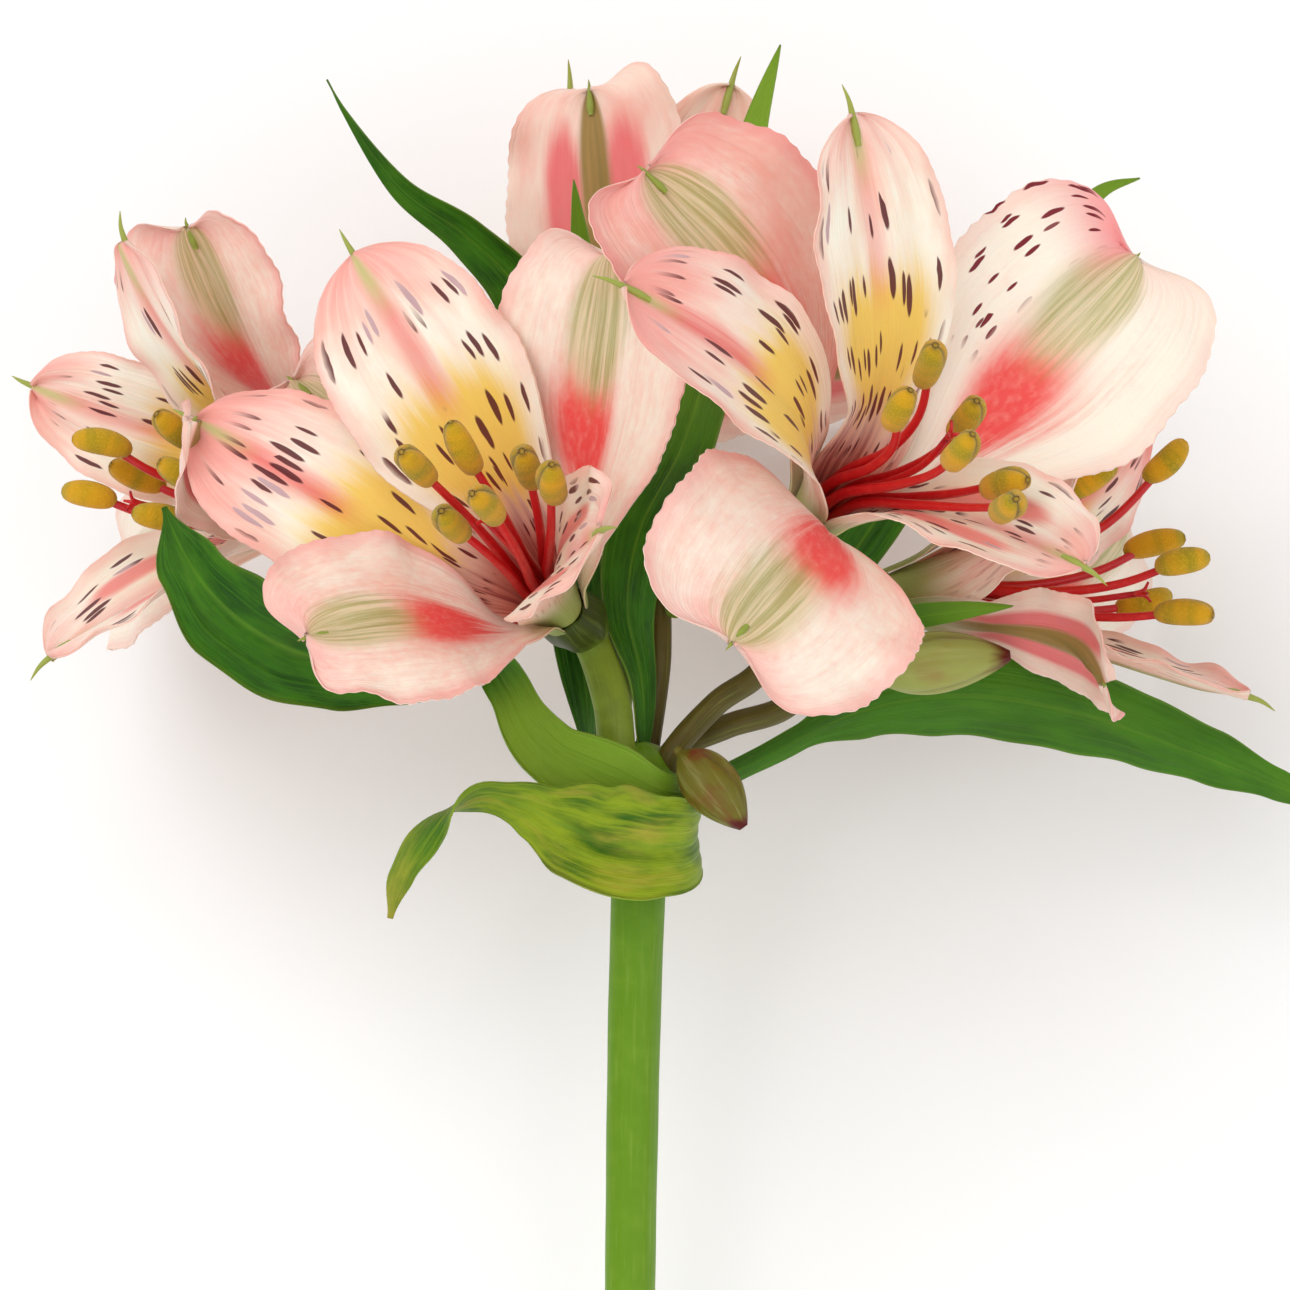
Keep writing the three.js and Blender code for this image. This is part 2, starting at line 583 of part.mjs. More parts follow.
function mainStem() {
  const path = [
    vec(-0.9, -STEM_LENGTH, 0),
    vec(-1.2, -STEM_LENGTH * 0.6, 0.4),
    vec(-0.7, -STEM_LENGTH * 0.25, 0.2),
    vec(0, -RECEPTACLE_LENGTH, 0),
    vec(0, 0, 0),
  ];
  const radiusAt = (s) => {
    const swelling = ease(s * STEM_LENGTH, STEM_LENGTH - RECEPTACLE_LENGTH, STEM_LENGTH);
    return mix(mix(STEM_RADIUS_CUT, STEM_RADIUS_TOP, s), RECEPTACLE_RADIUS, swelling);
  };
  const geometry = tube(path, radiusAt, 12, 22);
  const at = geometry.getAttribute("position");
  for (let i = 0; i < at.count; i++) {
    const share = ease(-at.getY(i), STEM_LENGTH - 1, STEM_LENGTH);
    at.setY(i, at.getY(i) + share * CUT_SLANT * (at.getZ(i) / STEM_RADIUS_CUT));
  }
  return piece("main_stem", geometry, "stalk");
}

// ---------------------------------------------------------------- materials

const MATERIALS = {
  tepal: { color: 0xf3b3a8, roughness: 0.55 },
  stamen: { color: 0xd8a51e, roughness: 0.7 },
  style: { color: 0xe0574f, roughness: 0.5 },
  stalk: { color: 0x7fae35, roughness: 0.5 },
  leaf: { color: 0x3f8f1d, roughness: 0.5 },
  bud: { color: 0xa9a05a, roughness: 0.55 },
};

function piece(name, geometry, kind) {
  geometry.computeVertexNormals();
  const mesh = new THREE.Mesh(geometry, new THREE.MeshStandardMaterial({ ...MATERIALS[kind], metalness: 0 }));
  mesh.name = name;
  return mesh;
}

// ---------------------------------------------------------------- plant

const plant = new THREE.Group();
plant.add(mainStem());
for (const [name, shape] of Object.entries(LEAVES)) {
  plant.add(leaf(name, shape));
}
for (const [name, shape] of Object.entries(BUDS)) {
  plant.add(bud(name, shape));
}
for (const [name, flower] of Object.entries(FLOWERS)) {
  plant.add(pedicel(name, flower), ...tepals(name, flower), stamens(name, flower), pistil(name, flower));
}

plant.rotation.set(LIE_TILT, LIE_ROLL, 0);
plant.updateMatrixWorld(true);
const box = new THREE.Box3().setFromObject(plant, true);
plant.position.set(-(box.min.x + box.max.x) / 2, -(box.min.y + box.max.y) / 2, -box.min.z);

const lying = new THREE.Group();
lying.add(plant);

export default lying;
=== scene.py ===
# A cut stem of pink and cream alstroemeria, lying on a pale table.
# Every piece is made in millimetres in the plant's own frame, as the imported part
# is: the rays leave the stem at the origin, +Y runs up the stem and +Z comes out
# towards the showiest flowers. place() then lays it down, in metres.
import math
import zlib

import bpy
import numpy as np
from mathutils import Matrix, Vector


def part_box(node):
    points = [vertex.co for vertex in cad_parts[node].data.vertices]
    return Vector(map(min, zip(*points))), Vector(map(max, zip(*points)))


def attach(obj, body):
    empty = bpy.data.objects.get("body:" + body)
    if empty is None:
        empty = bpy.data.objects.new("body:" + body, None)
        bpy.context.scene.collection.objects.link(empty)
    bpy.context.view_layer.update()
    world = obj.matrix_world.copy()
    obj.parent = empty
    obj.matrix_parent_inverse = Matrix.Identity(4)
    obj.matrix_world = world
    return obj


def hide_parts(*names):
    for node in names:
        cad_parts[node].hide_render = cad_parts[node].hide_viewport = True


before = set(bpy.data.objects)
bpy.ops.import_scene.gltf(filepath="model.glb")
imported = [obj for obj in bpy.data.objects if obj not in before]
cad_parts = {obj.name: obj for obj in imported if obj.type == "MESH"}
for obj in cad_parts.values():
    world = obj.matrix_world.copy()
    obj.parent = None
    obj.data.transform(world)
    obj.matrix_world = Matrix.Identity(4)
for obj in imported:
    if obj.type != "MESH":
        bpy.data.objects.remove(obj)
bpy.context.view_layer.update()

# Sizes of the part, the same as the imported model's
STEM_LENGTH = 118
STEM_RADIUS_CUT = 2.3
STEM_RADIUS_TOP = 2.9
CUT_SLANT = 1.6
RECEPTACLE_RADIUS = 4.2
RECEPTACLE_LENGTH = 5
LIE_TILT = math.radians(15.1)
LIE_ROLL = math.radians(4.1)
GAP = 0.35
OUTER_LENGTH = 43
OUTER_WIDTH = 27
INNER_LENGTH = 44
INNER_WIDTH = 17
OUTER_RING = 4.4
INNER_RING = 3.1
OVARY_RADIUS = 3.2
OVARY_LENGTH = 8
FILAMENT_LENGTH = 34
FILAMENT_RADIUS = 0.5
FILAMENT_RING = 1.5
ANTHER_LENGTH = 6.5
ANTHER_RADIUS = 1.6
STYLE_LENGTH = 29
STYLE_RADIUS = 0.4
PEDICEL_RADIUS = 1.3

# What the camera sees: a square this wide, round this point of the plant
VIEW_WIDTH = 135.45
VIEW_CENTRE = (0.5, 12.1)
CAMERA_DISTANCE = 1200
# In metres: the table's side, and what the lamps point at
TABLE_SIZE = 6.0
LIT_PLACE = (0, 0.03, 0.04)
SENSOR_WIDTH = 36

# Each flower's place and way, the points of its stalk, how far its stamens droop, its anthers as
# sideways and upward bend and reach, and what its tepals have of their own
FLOWERS = {
    "front_left": {
        "base": (-8.4, 16, 7.6),
        "axis": (-0.4, 0.42, 0.8),
        "top": (-0.8, 0.6, -0.5),
        "stalk": [(-2.4, 0.8, 1.7), (-3, 6, 2)],
        "stalkRadius": 2,
        "droop": 0.17,
        "anthers": [
            (0.12, 0.2, 0.9), (0.21, 0.05, 0.8), (0.2, -0.09, 0.9),
            (0.05, 0.01, 1), (-0.03, 0.11, 0.86), (0.02, 0.23, 1),
        ],
        "tepals": {
            "top_outer": dict(turn=2, claw=22, flare=66, tip=78, width=18, length=35),
            "right_outer": dict(turn=74, claw=20, flare=52, tip=62, width=24, length=40),
            "left_outer": dict(
                turn=-68, claw=16, flare=34, tip=58, width=23, length=33, lobe=3.5, skew=-0.3,
            ),
            "right_inner": dict(turn=22, flare=50, tip=64, width=20),
            "left_inner": dict(turn=-8, claw=15, flare=62, tip=72, width=18),
            "low_inner": dict(turn=160, flare=38, tip=46, length=36),
        },
    },
    "front_right": {
        "base": (17.6, 24.8, 13),
        "axis": (0.42, 0.48, 0.78),
        "top": (-0.5, 0.8, 0),
        "stalk": [(3.4, 0.9, 1.7), (8, 6, 2), (13, 10, 3.6)],
        "droop": 0.17,
        "anthers": [
            (-0.01, 0.18, 1), (0.12, 0.02, 0.8), (0.04, -0.2, 0.85),
            (-0.08, -0.24, 1), (-0.07, -0.06, 1), (-0.13, 0.12, 0.92),
        ],
        "tepals": {
            "top_outer": dict(turn=-12, flare=66, tip=90, length=43, width=31, skew=0.3),
            "right_inner": dict(turn=12, flare=46, length=46),
            "left_inner": dict(turn=-38, flare=58, tip=84, length=46, width=19),
            "right_outer": dict(turn=80, claw=24, flare=60, width=29, lobe=4.5),
            "left_outer": dict(turn=-103, flare=68, tip=104, length=38, width=30, lobe=5),
            "low_inner": dict(turn=180, flare=42, tip=60, length=38),
        },
    },
    "back_left": {
        "base": (-27.5, 26, -9),
        "axis": (-0.93, 0.2, 0.28),
        "top": (0.1, 1, 0),
        "stalk": [(-2.6, 0.9, -2.9), (-2.2, 10, -7), (-7, 20, -10)],
        "droop": 0.15,
        "anthers": [
            (0.12, 0.24, 0.8), (0.25, 0.12, 0.78), (0.15, 0, 0.8),
            (-0.08, 0.06, 1), (-0.18, 0.1, 0.82), (-0.05, 0.15, 1),
        ],
        "tepals": {
            "top_outer": dict(turn=4, flare=42, tip=58, length=35, width=23, roll=34),
            "right_outer": dict(turn=58, flare=15, tip=86, length=34, width=12, lobe=0),
            "left_outer": dict(turn=-110, flare=64, tip=100, width=20, length=38),
            "right_inner": dict(turn=8, flare=34, tip=56, length=42, width=13, roll=16),
            "left_inner": dict(turn=-74, flare=24, tip=40, length=39, width=14),
            "low_inner": dict(flare=36, tip=50, length=38, width=20, roll=-10),
        },
    },
    "back_top": {
        "base": (-3.4, 30, -10),
        "axis": (0.05, 0.74, -0.62),
        "top": (-0.05, 0.65, 0.7),
        "stalk": [(0.7, 0.9, -2.9), (2, 12, -3), (1, 20, -4.2)],
        "droop": 0.15,
        "anthers": [
            (0.1, 0.2, 1), (0.25, 0.1, 1), (0.15, -0.05, 1),
            (-0.1, -0.05, 1), (-0.3, 0.1, 1), (-0.15, 0.2, 1),
        ],
        "tepals": {
            "top_outer": dict(turn=8, flare=40, tip=34, width=20, length=39, skew=0.4),
            "right_outer": dict(turn=112, lobe=0),
            "left_outer": dict(turn=-112, lobe=0),
            "left_inner": dict(turn=-25, flare=36, tip=40, width=15),
            "right_inner": dict(turn=6, flare=20, tip=30, width=12),
            "low_inner": dict(flare=26, tip=34, length=40),
        },
    },
    "back_right": {
        "base": (26.5, 17.2, -9),
        "axis": (0.97, 0.12, 0.15),
        "top": (0, 1, 0.1),
        "stalk": [(3.4, 0.9, -2.2), (9, 3.5, -2), (16, 6.2, -4.6)],
        "droop": 0.1,
        "anthers": [
            (0.1, 0.36, 1), (0.24, 0.15, 0.9), (0.15, -0.01, 0.85),
            (-0.08, -0.01, 1.02), (-0.1, 0.11, 1.04), (-0.1, 0.44, 0.76),
        ],
        "tepals": {
            "top_outer": dict(turn=12, flare=44, tip=60, width=18, length=36),
            "right_outer": dict(turn=74, flare=56, tip=76, width=20, length=36),
            "left_outer": dict(turn=-112, flare=36, tip=80, width=12, length=33),
            "right_inner": dict(turn=56, flare=44, tip=66, width=14, length=36),
            "left_inner": dict(turn=-22, flare=44, tip=62, width=13, length=34),
            "low_inner": dict(turn=180, flare=22, tip=24, width=12, length=38),
        },
    },
}

LEAVES = {
    "left_leaf": {
        "points": [
            (2.6, -4.4, 4.7), (-1.3, -3, 5.4), (-5.3, -1.2, 5.4), (-8.9, 0.8, 4.8), (-11.8, 4, 4),
            (-13.7, 7.6, 3), (-15.4, 9.9, 2.4), (-18.6, 10, 2), (-23.1, 9.6, 1.8),
            (-30.5, 10.2, 3.6), (-37.3, 12, 7.4), (-43.6, 16.4, 10.2), (-47.3, 21.5, 11),
            (-49.6, 26.6, 11),
        ],
        "across": [
            (0, 1, 0.1), (0, 1, 0.1), (0.3, 1, 0.1), (0.5, 0.9, 0.2), (0.9, 0.5, 0.3),
            (1, 0.4, 0.3), (0.7, 0.6, 0.6), (0.2, 0.7, 0.7), (0, 0.8, 0.6), (0, 0.9, 0.4),
            (0.2, 0.9, 0.3), (0.6, 0.8, 0.2), (0.9, 0.5, 0.3), (1, 0.2, 0.2),
        ],
        "widths": [6, 8.6, 6.6, 4.8, 5.4, 7.6, 9.8, 11.2, 10.6, 7, 0.6],
    },
    "curled_leaf": {
        "points": [
            (5.6, -7, -1.5), (4.9, -8.5, 3.6), (0.8, -8.8, 7.6), (-4.2, -8.2, 8.4),
            (-8.9, -6.2, 8), (-13.1, -4.2, 7), (-16.8, -3.6, 6.2), (-20.5, -5.6, 5.4),
            (-23.6, -9.3, 4.8), (-25.4, -13, 4.4), (-26.2, -16.6, 4),
        ],
        "across": [
            (0, 1, 0), (0.1, 1, 0.1), (0.1, 1, 0), (0, 1, -0.2), (0.2, 1, 0), (0.1, 0.9, 0.5),
            (0.2, 0.6, 0.8), (0.7, 0.3, 0.7), (0.9, -0.1, 0.5), (1, -0.1, 0.3), (1, 0, 0.2),
        ],
        "widths": [8, 9.4, 10.4, 12, 10.4, 6.4, 4.4, 4.4, 4.2, 2.8, 0.6],
    },
    "right_leaf": {
        "points": [
            (4.6, -3.6, -3.4), (12.6, 0, -8), (23, 5, -10.5), (34, 6.8, -10), (46, 5, -9),
            (58.8, 0.6, -8.5), (68, -3, -9), (74, -5.6, -9.5),
        ],
        "across": [
            (0, 1, 0), (-0.3, 1, 0.2), (0, 1, 0.3), (0, 1, 0.3), (0.2, 1, 0.3), (0.3, 1, 0.3),
            (0.4, 1, 0.3), (0.4, 1, 0.3),
        ],
        "widths": [2.4, 2.4, 2.8, 6.5, 9.5, 10, 9.5, 8, 6, 3.5, 0.6],
    },
    "upper_left_leaf": {
        "points": [
            (-4.8, -3.6, -1.8), (-5.2, 3, -3.2), (-6.2, 12, -4.8), (-7.4, 22, -4.4),
            (-8.6, 36, -2.8), (-12.5, 49, -3), (-18, 55, -3), (-25, 60, -2), (-31, 68, -1),
            (-33, 71.6, 0),
        ],
        "across": [
            (0.3, 0, 1), (0.6, 0, 0.9), (1, 0, 0.2), (1, 0.1, 0.2), (1, 0.2, 0.3), (0.7, 0.7, 0.3),
            (0.5, 0.8, 0.3), (0.6, 0.7, 0.3), (0.7, 0.6, 0.3), (0.8, 0.3, 0.3),
        ],
        "width": 7.5,
        "foot": 0.2,
        "slim": 1.3,
    },
    "tall_leaf": {
        "points": [
            (0.3, 0.9, 0.3), (0, 8, 0.2), (-1.4, 16, 0.2), (0, 24, 0), (4.5, 33, -1.5),
            (8, 45, -3), (10, 57, -4), (12.5, 68, -4), (14.8, 75.5, -4),
        ],
        "across": [
            (0.7, 0, -0.7), (0.7, 0, -0.7), (0.9, 0.2, -0.4), (1, -0.2, 0.2), (1, -0.4, 0.3),
            (1, -0.2, 0.3), (1, -0.1, 0.3), (1, -0.2, 0.2), (1, -0.3, 0.2),
        ],
        "width": 7,
        "foot": 0.1,
    },
    "upper_right_leaf": {
        "points": [
            (13, 8.4, -0.6), (18, 15, -3), (26, 27, -3), (36, 42, -1), (44, 54, 1),
            (48.3, 59.6, 1.5), (52.5, 61.1, 2),
        ],
        "across": [
            (1, -0.8, 0.2), (1, -0.8, 0.2), (1, -0.8, 0.2), (1, -0.8, 0.2), (1, -0.8, 0.3),
            (0.6, -1, 0.3), (0.2, -1, 0.3),
        ],
        "width": 6,
    },
    "inner_bract": {
        "points": [(-0.4, 29, -2.4), (-2.4, 36, -3.2), (-5, 46, -1.6), (-6.3, 55, 0), (-7, 61, 1)],
        "across": [(1, 0, 0), (1, 0.2, 0), (1, 0.2, 0.2), (1, 0.1, 0.2), (1, 0.1, 0.2)],
        "width": 3.4,
    },
    "ray_bract": {
        "points": [(3.4, 15, -1.6), (4.2, 18.5, -1), (5, 21, -0.4)],
        "across": [(1, -0.3, 0.2), (1, -0.3, 0.2), (1, -0.3, 0.2)],
        "width": 2.6,
    },
    "small_bract": {
        "points": [(21, 12, -1.2), (27, 14.6, 2), (33, 15.6, 4.4), (39, 16.2, 6)],
        "across": [(0, 1, 0.3), (0, 1, 0.3), (0, 1, 0.3), (0, 1, 0.3)],
        "width": 2.6,
    },
}

BUDS = {
    "right_bud": dict(
        points=[(17.6, 6.9, -1), (22.6, 9, 0.4), (30, 10.2, 1.6), (38.8, 11, 2.2)],
        radius=3.3, neck=0.3,
    ),
    "low_bud": dict(points=[(3.8, 1.2, 6), (7.2, -2.2, 8), (10.8, -6.9, 8.6)], radius=3, neck=0.05),
}

# -------- curves and frames


def unit(v):
    v = np.asarray(v, float)
    return v / np.maximum(np.linalg.norm(v, axis=-1, keepdims=True), 1e-12)


def mix(a, b, k):
    return a + (b - a) * k


def ease(x, low, high):
    k = np.clip((x - low) / (high - low), 0, 1)
    return k * k * (3 - 2 * k)


def seeded(name):
    return np.random.default_rng(zlib.crc32(name.encode()))


class Route:
    """A smooth curve through points, read by its share of the length."""

    STEPS = 60

    def __init__(self, points):
        p = np.asarray(points, float)
        p = np.vstack([2 * p[0] - p[1], p, 2 * p[-1] - p[-2]])
        samples = []
        knots = []
        for i in range(1, len(p) - 2):
            d0, d1, d2 = (max(np.linalg.norm(p[k + 1] - p[k]) ** 0.5, 1e-4) for k in (i - 1, i, i + 1))
            a, b, c, d = p[i - 1 : i + 3]
            t1 = d1 * ((b - a) / d0 - (c - a) / (d0 + d1) + (c - b) / d1)
            t2 = d1 * ((c - b) / d1 - (d - b) / (d1 + d2) + (d - c) / d2)
            u = np.linspace(0, 1, self.STEPS, endpoint=False)[:, None]
            cubic = b + t1 * u + (-3 * b + 3 * c - 2 * t1 - t2) * u**2 + (2 * b - 2 * c + t1 + t2) * u**3
            samples.append(cubic)
            knots.append(i - 1 + u[:, 0])
        self.points = np.vstack([*samples, p[-2:-1]])
        self.knots = np.append(np.concatenate(knots), len(p) - 3.0)
        steps = np.linalg.norm(np.diff(self.points, axis=0), axis=1)
        self.run = np.concatenate([[0], np.cumsum(steps)])
        self.length = self.run[-1]

    def at(self, share):
        run = np.asarray(share) * self.length
        return np.stack([np.interp(run, self.run, self.points[:, k]) for k in range(3)], -1)

    def knot(self, share):
        return np.interp(np.asarray(share) * self.length, self.run, self.knots)

    def by_knot(self, knot):
        return np.stack([np.interp(knot, self.knots, self.points[:, k]) for k in range(3)], -1)

    def along(self, share):
        share = np.asarray(share)
        return unit(self.at(np.minimum(share + 0.01, 1)) - self.at(np.maximum(share - 0.01, 0)))


def carried_frames(along):
    """Two ways across a curve at each of its points, turned as little as can be."""
    first = np.cross(along[0], [0.0, 0.0, 1.0])
    if np.linalg.norm(first) < 0.1:
        first = np.cross(along[0], [1.0, 0.0, 0.0])
    u = [unit(first)]
    for way in along[1:]:
        u.append(unit(u[-1] - way * np.dot(u[-1], way)))
    u = np.array(u)
    return u, np.cross(along, u)


# -------- meshes

TURN_X = np.array(
    [
        [1, 0, 0],
        [0, math.cos(LIE_TILT), -math.sin(LIE_TILT)],
        [0, math.sin(LIE_TILT), math.cos(LIE_TILT)],
    ]
)
TURN_Y = np.array(
    [
        [math.cos(LIE_ROLL), 0, math.sin(LIE_ROLL)],
        [0, 1, 0],
        [-math.sin(LIE_ROLL), 0, math.cos(LIE_ROLL)],
    ]
)
LYING = TURN_X @ TURN_Y
shift = np.zeros(3)
# Petals level out below this height above the table, in metres
LEVELLING = 0.0015


def place(points):
    """From the plant's frame in millimetres to the row's frame in metres."""
    return np.asarray(points) @ LYING.T * 0.001 + shift


class Shape:
    """Points, faces and point values of a mesh in the making."""

    def __init__(self):
        self.points = []
        self.faces = []
        self.values = {}
        self.slots = []
        self.count = 0

    def add(self, points, faces, slot=0, **values):
        points = np.asarray(points, float).reshape(-1, 3)
        faces = np.asarray(faces, int)
        self.points.append(points)
        self.faces.append(faces + self.count)
        self.slots.append(np.full(len(faces), slot))
        for name in sorted(set(self.values) | set(values)):
            value = np.broadcast_to(np.asarray(values.get(name, 0.0), float).reshape(-1), len(points))
            self.values.setdefault(name, [np.zeros(self.count)] if self.count else []).append(value)
        self.count += len(points)


def grid_faces(rows, columns, first=0, wrap=False, flip=False):
    i = np.arange(rows - 1)[:, None]
    j = np.arange(columns if wrap else columns - 1)[None, :]
    a = i * columns + j
    b = i * columns + (j + 1) % columns
    quads = np.stack([a, a + columns, b + columns, b], -1).reshape(-1, 4) + first
    return quads[:, ::-1] if flip else quads


def add_sheet(shape, middle, thickness, **values):
    """A closed sheet on a grid of middle points, with back 0 on its face and 1 behind."""
    rows, columns, _ = middle.shape
    normal = unit(np.cross(np.gradient(middle, axis=0), np.gradient(middle, axis=1)))
    offset = normal * (thickness / 2)[..., None]
    points = np.vstack([(middle + offset).reshape(-1, 3), (middle - offset).reshape(-1, 3)])
    behind = rows * columns
    top = grid_faces(rows, columns)
    bottom = grid_faces(rows, columns, behind, flip=True)
    grid = np.arange(behind).reshape(rows, columns)
    edge = np.concatenate([grid[:, 0], grid[-1, 1:], grid[-2::-1, -1], grid[0, -2:0:-1]])
    after = np.roll(edge, -1)
    rim = np.stack([edge, after, after + behind, edge + behind], -1)
    both = {}
    for name, value in values.items():
        both[name] = np.tile(np.broadcast_to(value, (rows, columns)).reshape(-1), 2)
    both["back"] = np.repeat([0.0, 1.0], behind)
    shape.add(points, np.vstack([top, bottom, rim]), **both)


def add_tube(shape, route, radius, sides, steps, slot=0, profile=None, **values):
    """A round body along a route; radius and profile give its size by share and by turn."""
    share = np.linspace(0, 1, steps)
    centre = route.at(share)
    along = route.along(share)
    u, v = carried_frames(along)
    turn = np.linspace(0, 2 * math.pi, sides, endpoint=False)
    size = radius(share)[:, None] * (profile(share, turn) if profile else 1)
    ring = u[:, None] * np.cos(turn)[None, :, None] + v[:, None] * np.sin(turn)[None, :, None]
    points = centre[:, None] + ring * size[..., None]
    faces = grid_faces(steps, sides, wrap=True)
    ends = np.array([centre[0], centre[-1]])
    first = steps * sides
    here = np.arange(sides)
    after = (here + 1) % sides
    foot = np.full(sides, first)
    low = np.stack([after, here, foot, foot], -1)
    last = (steps - 1) * sides
    tip = np.full(sides, first + 1)
    high = np.stack([last + here, last + after, tip, tip], -1)
    share_all = np.append(np.repeat(share, sides), [0, 1])
    turn_all = np.append(np.tile(turn, steps), [0, 0])
    extra = {}
    for name, value in values.items():
        extra[name] = np.append(np.broadcast_to(value, (steps, sides)).reshape(-1), [0, 0])
    shape.add(
        np.vstack([points.reshape(-1, 3), ends]),
        np.vstack([faces, low, high]),
        slot,
        share=share_all,
        turn=turn_all / (2 * math.pi),
        length=share_all * route.length,
        **extra,
    )


def rested(height):
    """Heights levelled out close to the table, so that a petal lies on it and not in it."""
    near = np.minimum(height, LEVELLING)
    return np.where(height < LEVELLING, LEVELLING * np.exp(near / LEVELLING - 1), height)


def finish_piece(shape, name, node, slot, materials):
    """The Blender object of a shape, in its place, standing for its CAD node."""
    mesh = bpy.data.meshes.new(name)
    faces = []
    for quads in shape.faces:
        for face in quads.tolist():
            faces.append(face[:3] if face[2] == face[3] else face)
    points = place(np.vstack(shape.points))
    if slot in ("outer_tepal", "inner_tepal"):
        points[:, 2] = rested(points[:, 2])
    mesh.from_pydata(points.tolist(), [], faces)
    for key, parts in shape.values.items():
        layer = mesh.attributes.new(key, "FLOAT", "POINT")
        layer.data.foreach_set("value", np.concatenate(parts).astype(np.float32))
    for material in materials:
        mesh.materials.append(material)
    mesh.polygons.foreach_set("material_index", np.concatenate(shape.slots).astype(np.int32))
    mesh.polygons.foreach_set("use_smooth", np.ones(len(mesh.polygons), bool))
    mesh.update()
    piece = bpy.data.objects.new(name, mesh)
    bpy.context.scene.collection.objects.link(piece)
    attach(piece, "root")
    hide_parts(node)
    return piece


# -------- materials


def srgb(code):
    """A colour as it looks, #RRGGBB, to the linear values a shader takes."""
    parts = [int(code[k : k + 2], 16) / 255 for k in (1, 3, 5)]
    return tuple(c / 12.92 if c <= 0.04045 else ((c + 0.055) / 1.055) ** 2.4 for c in parts) + (1.0,)


# How deep light goes into petals and leaves, in metres
SKIN_DEPTH = 0.0004


class Paint:
    """A material, with short names for the nodes it is painted with."""

    def __init__(
        self, name, roughness, specular=0.4, subsurface=0.0, radius=(1.0, 0.4, 0.3), sheen=0.0
    ):
        self.material = bpy.data.materials.new(name)
        self.material.use_nodes = True
        self.tree = self.material.node_tree
        self.shader = self.tree.nodes["Principled BSDF"]
        settings = {
            "Roughness": roughness,
            "Specular IOR Level": specular,
            "Subsurface Weight": subsurface,
            "Subsurface Radius": radius,
            "Subsurface Scale": SKIN_DEPTH,
            "Sheen Weight": sheen,
        }
        for socket, setting in settings.items():
            self.shader.inputs[socket].default_value = setting

    def feed(self, socket, value):
        if isinstance(value, bpy.types.NodeSocket):
            self.tree.links.new(value, socket)
        else:
            socket.default_value = value

    def value(self, name):
        node = self.tree.nodes.new("ShaderNodeAttribute")
        node.attribute_name = name
        return node.outputs["Fac"]

    def values(self, names):
        return [self.value(name) for name in names.split()]

    def math(self, operation, a, b=0.0):
        node = self.tree.nodes.new("ShaderNodeMath")
        node.operation = operation
        self.feed(node.inputs[0], a)
        self.feed(node.inputs[1], b)
        return node.outputs[0]

    def add(self, a, b):
        return self.math("ADD", a, b)

    def sub(self, a, b):
        return self.math("SUBTRACT", a, b)

    def mul(self, *terms):
        out = terms[0]
        for term in terms[1:]:
            out = self.math("MULTIPLY", out, term)
        return out

    def step(self, x, low, high, start=0.0, end=1.0):
        node = self.tree.nodes.new("ShaderNodeMapRange")
        node.interpolation_type = "SMOOTHSTEP"
        self.feed(node.inputs["Value"], x)
        for socket, v in zip(("From Min", "From Max", "To Min", "To Max"), (low, high, start, end)):
            node.inputs[socket].default_value = v
        return node.outputs["Result"]

    def hump(self, x, centre, reach):
        """1 at the centre, easing to 0 at reach on both sides."""
        return self.step(self.math("ABSOLUTE", self.sub(x, centre)), 0.0, reach, 1.0, 0.0)

    def vector(self, x, y, z=0.0):
        node = self.tree.nodes.new("ShaderNodeCombineXYZ")
        for socket, v in zip(node.inputs, (x, y, z)):
            self.feed(socket, v)
        return node.outputs[0]

    def noise(self, vector, scale=1.0, detail=3.0, roughness=0.55):
        node = self.tree.nodes.new("ShaderNodeTexNoise")
        self.feed(node.inputs["Vector"], vector)
        for socket, v in zip(("Scale", "Detail", "Roughness"), (scale, detail, roughness)):
            node.inputs[socket].default_value = v
        return node.outputs["Fac"]

    def pattern(self, x, y, z=0.0, **settings):
        return self.noise(self.vector(x, y, z), **settings)

    def cells(self, vector, randomness=0.85):
        node = self.tree.nodes.new("ShaderNodeTexVoronoi")
        node.voronoi_dimensions = "2D"
        node.inputs["Scale"].default_value = 1.0
        node.inputs["Randomness"].default_value = randomness
        self.feed(node.inputs["Vector"], vector)
        return node.outputs["Distance"], node.outputs["Color"]

    def blend(self, amount, a, b, kind="MIX"):
        node = self.tree.nodes.new("ShaderNodeMix")
        node.data_type = "RGBA"
        node.blend_type = kind
        self.feed(node.inputs[0], amount)
        self.feed(node.inputs[6], srgb(a) if isinstance(a, str) else a)
        self.feed(node.inputs[7], srgb(b) if isinstance(b, str) else b)
        return node.outputs[2]

    def finish(self, colour, height=None, depth=0.0002, strength=0.4, roughness=None):
        self.feed(self.shader.inputs["Base Color"], colour)
        if roughness is not None:
            self.feed(self.shader.inputs["Roughness"], roughness)
        if height is not None:
            bump = self.tree.nodes.new("ShaderNodeBump")
            bump.inputs["Strength"].default_value = strength
            bump.inputs["Distance"].default_value = depth
            self.feed(bump.inputs["Height"], height)
            self.feed(self.shader.inputs["Normal"], bump.outputs[0])
        return self.material


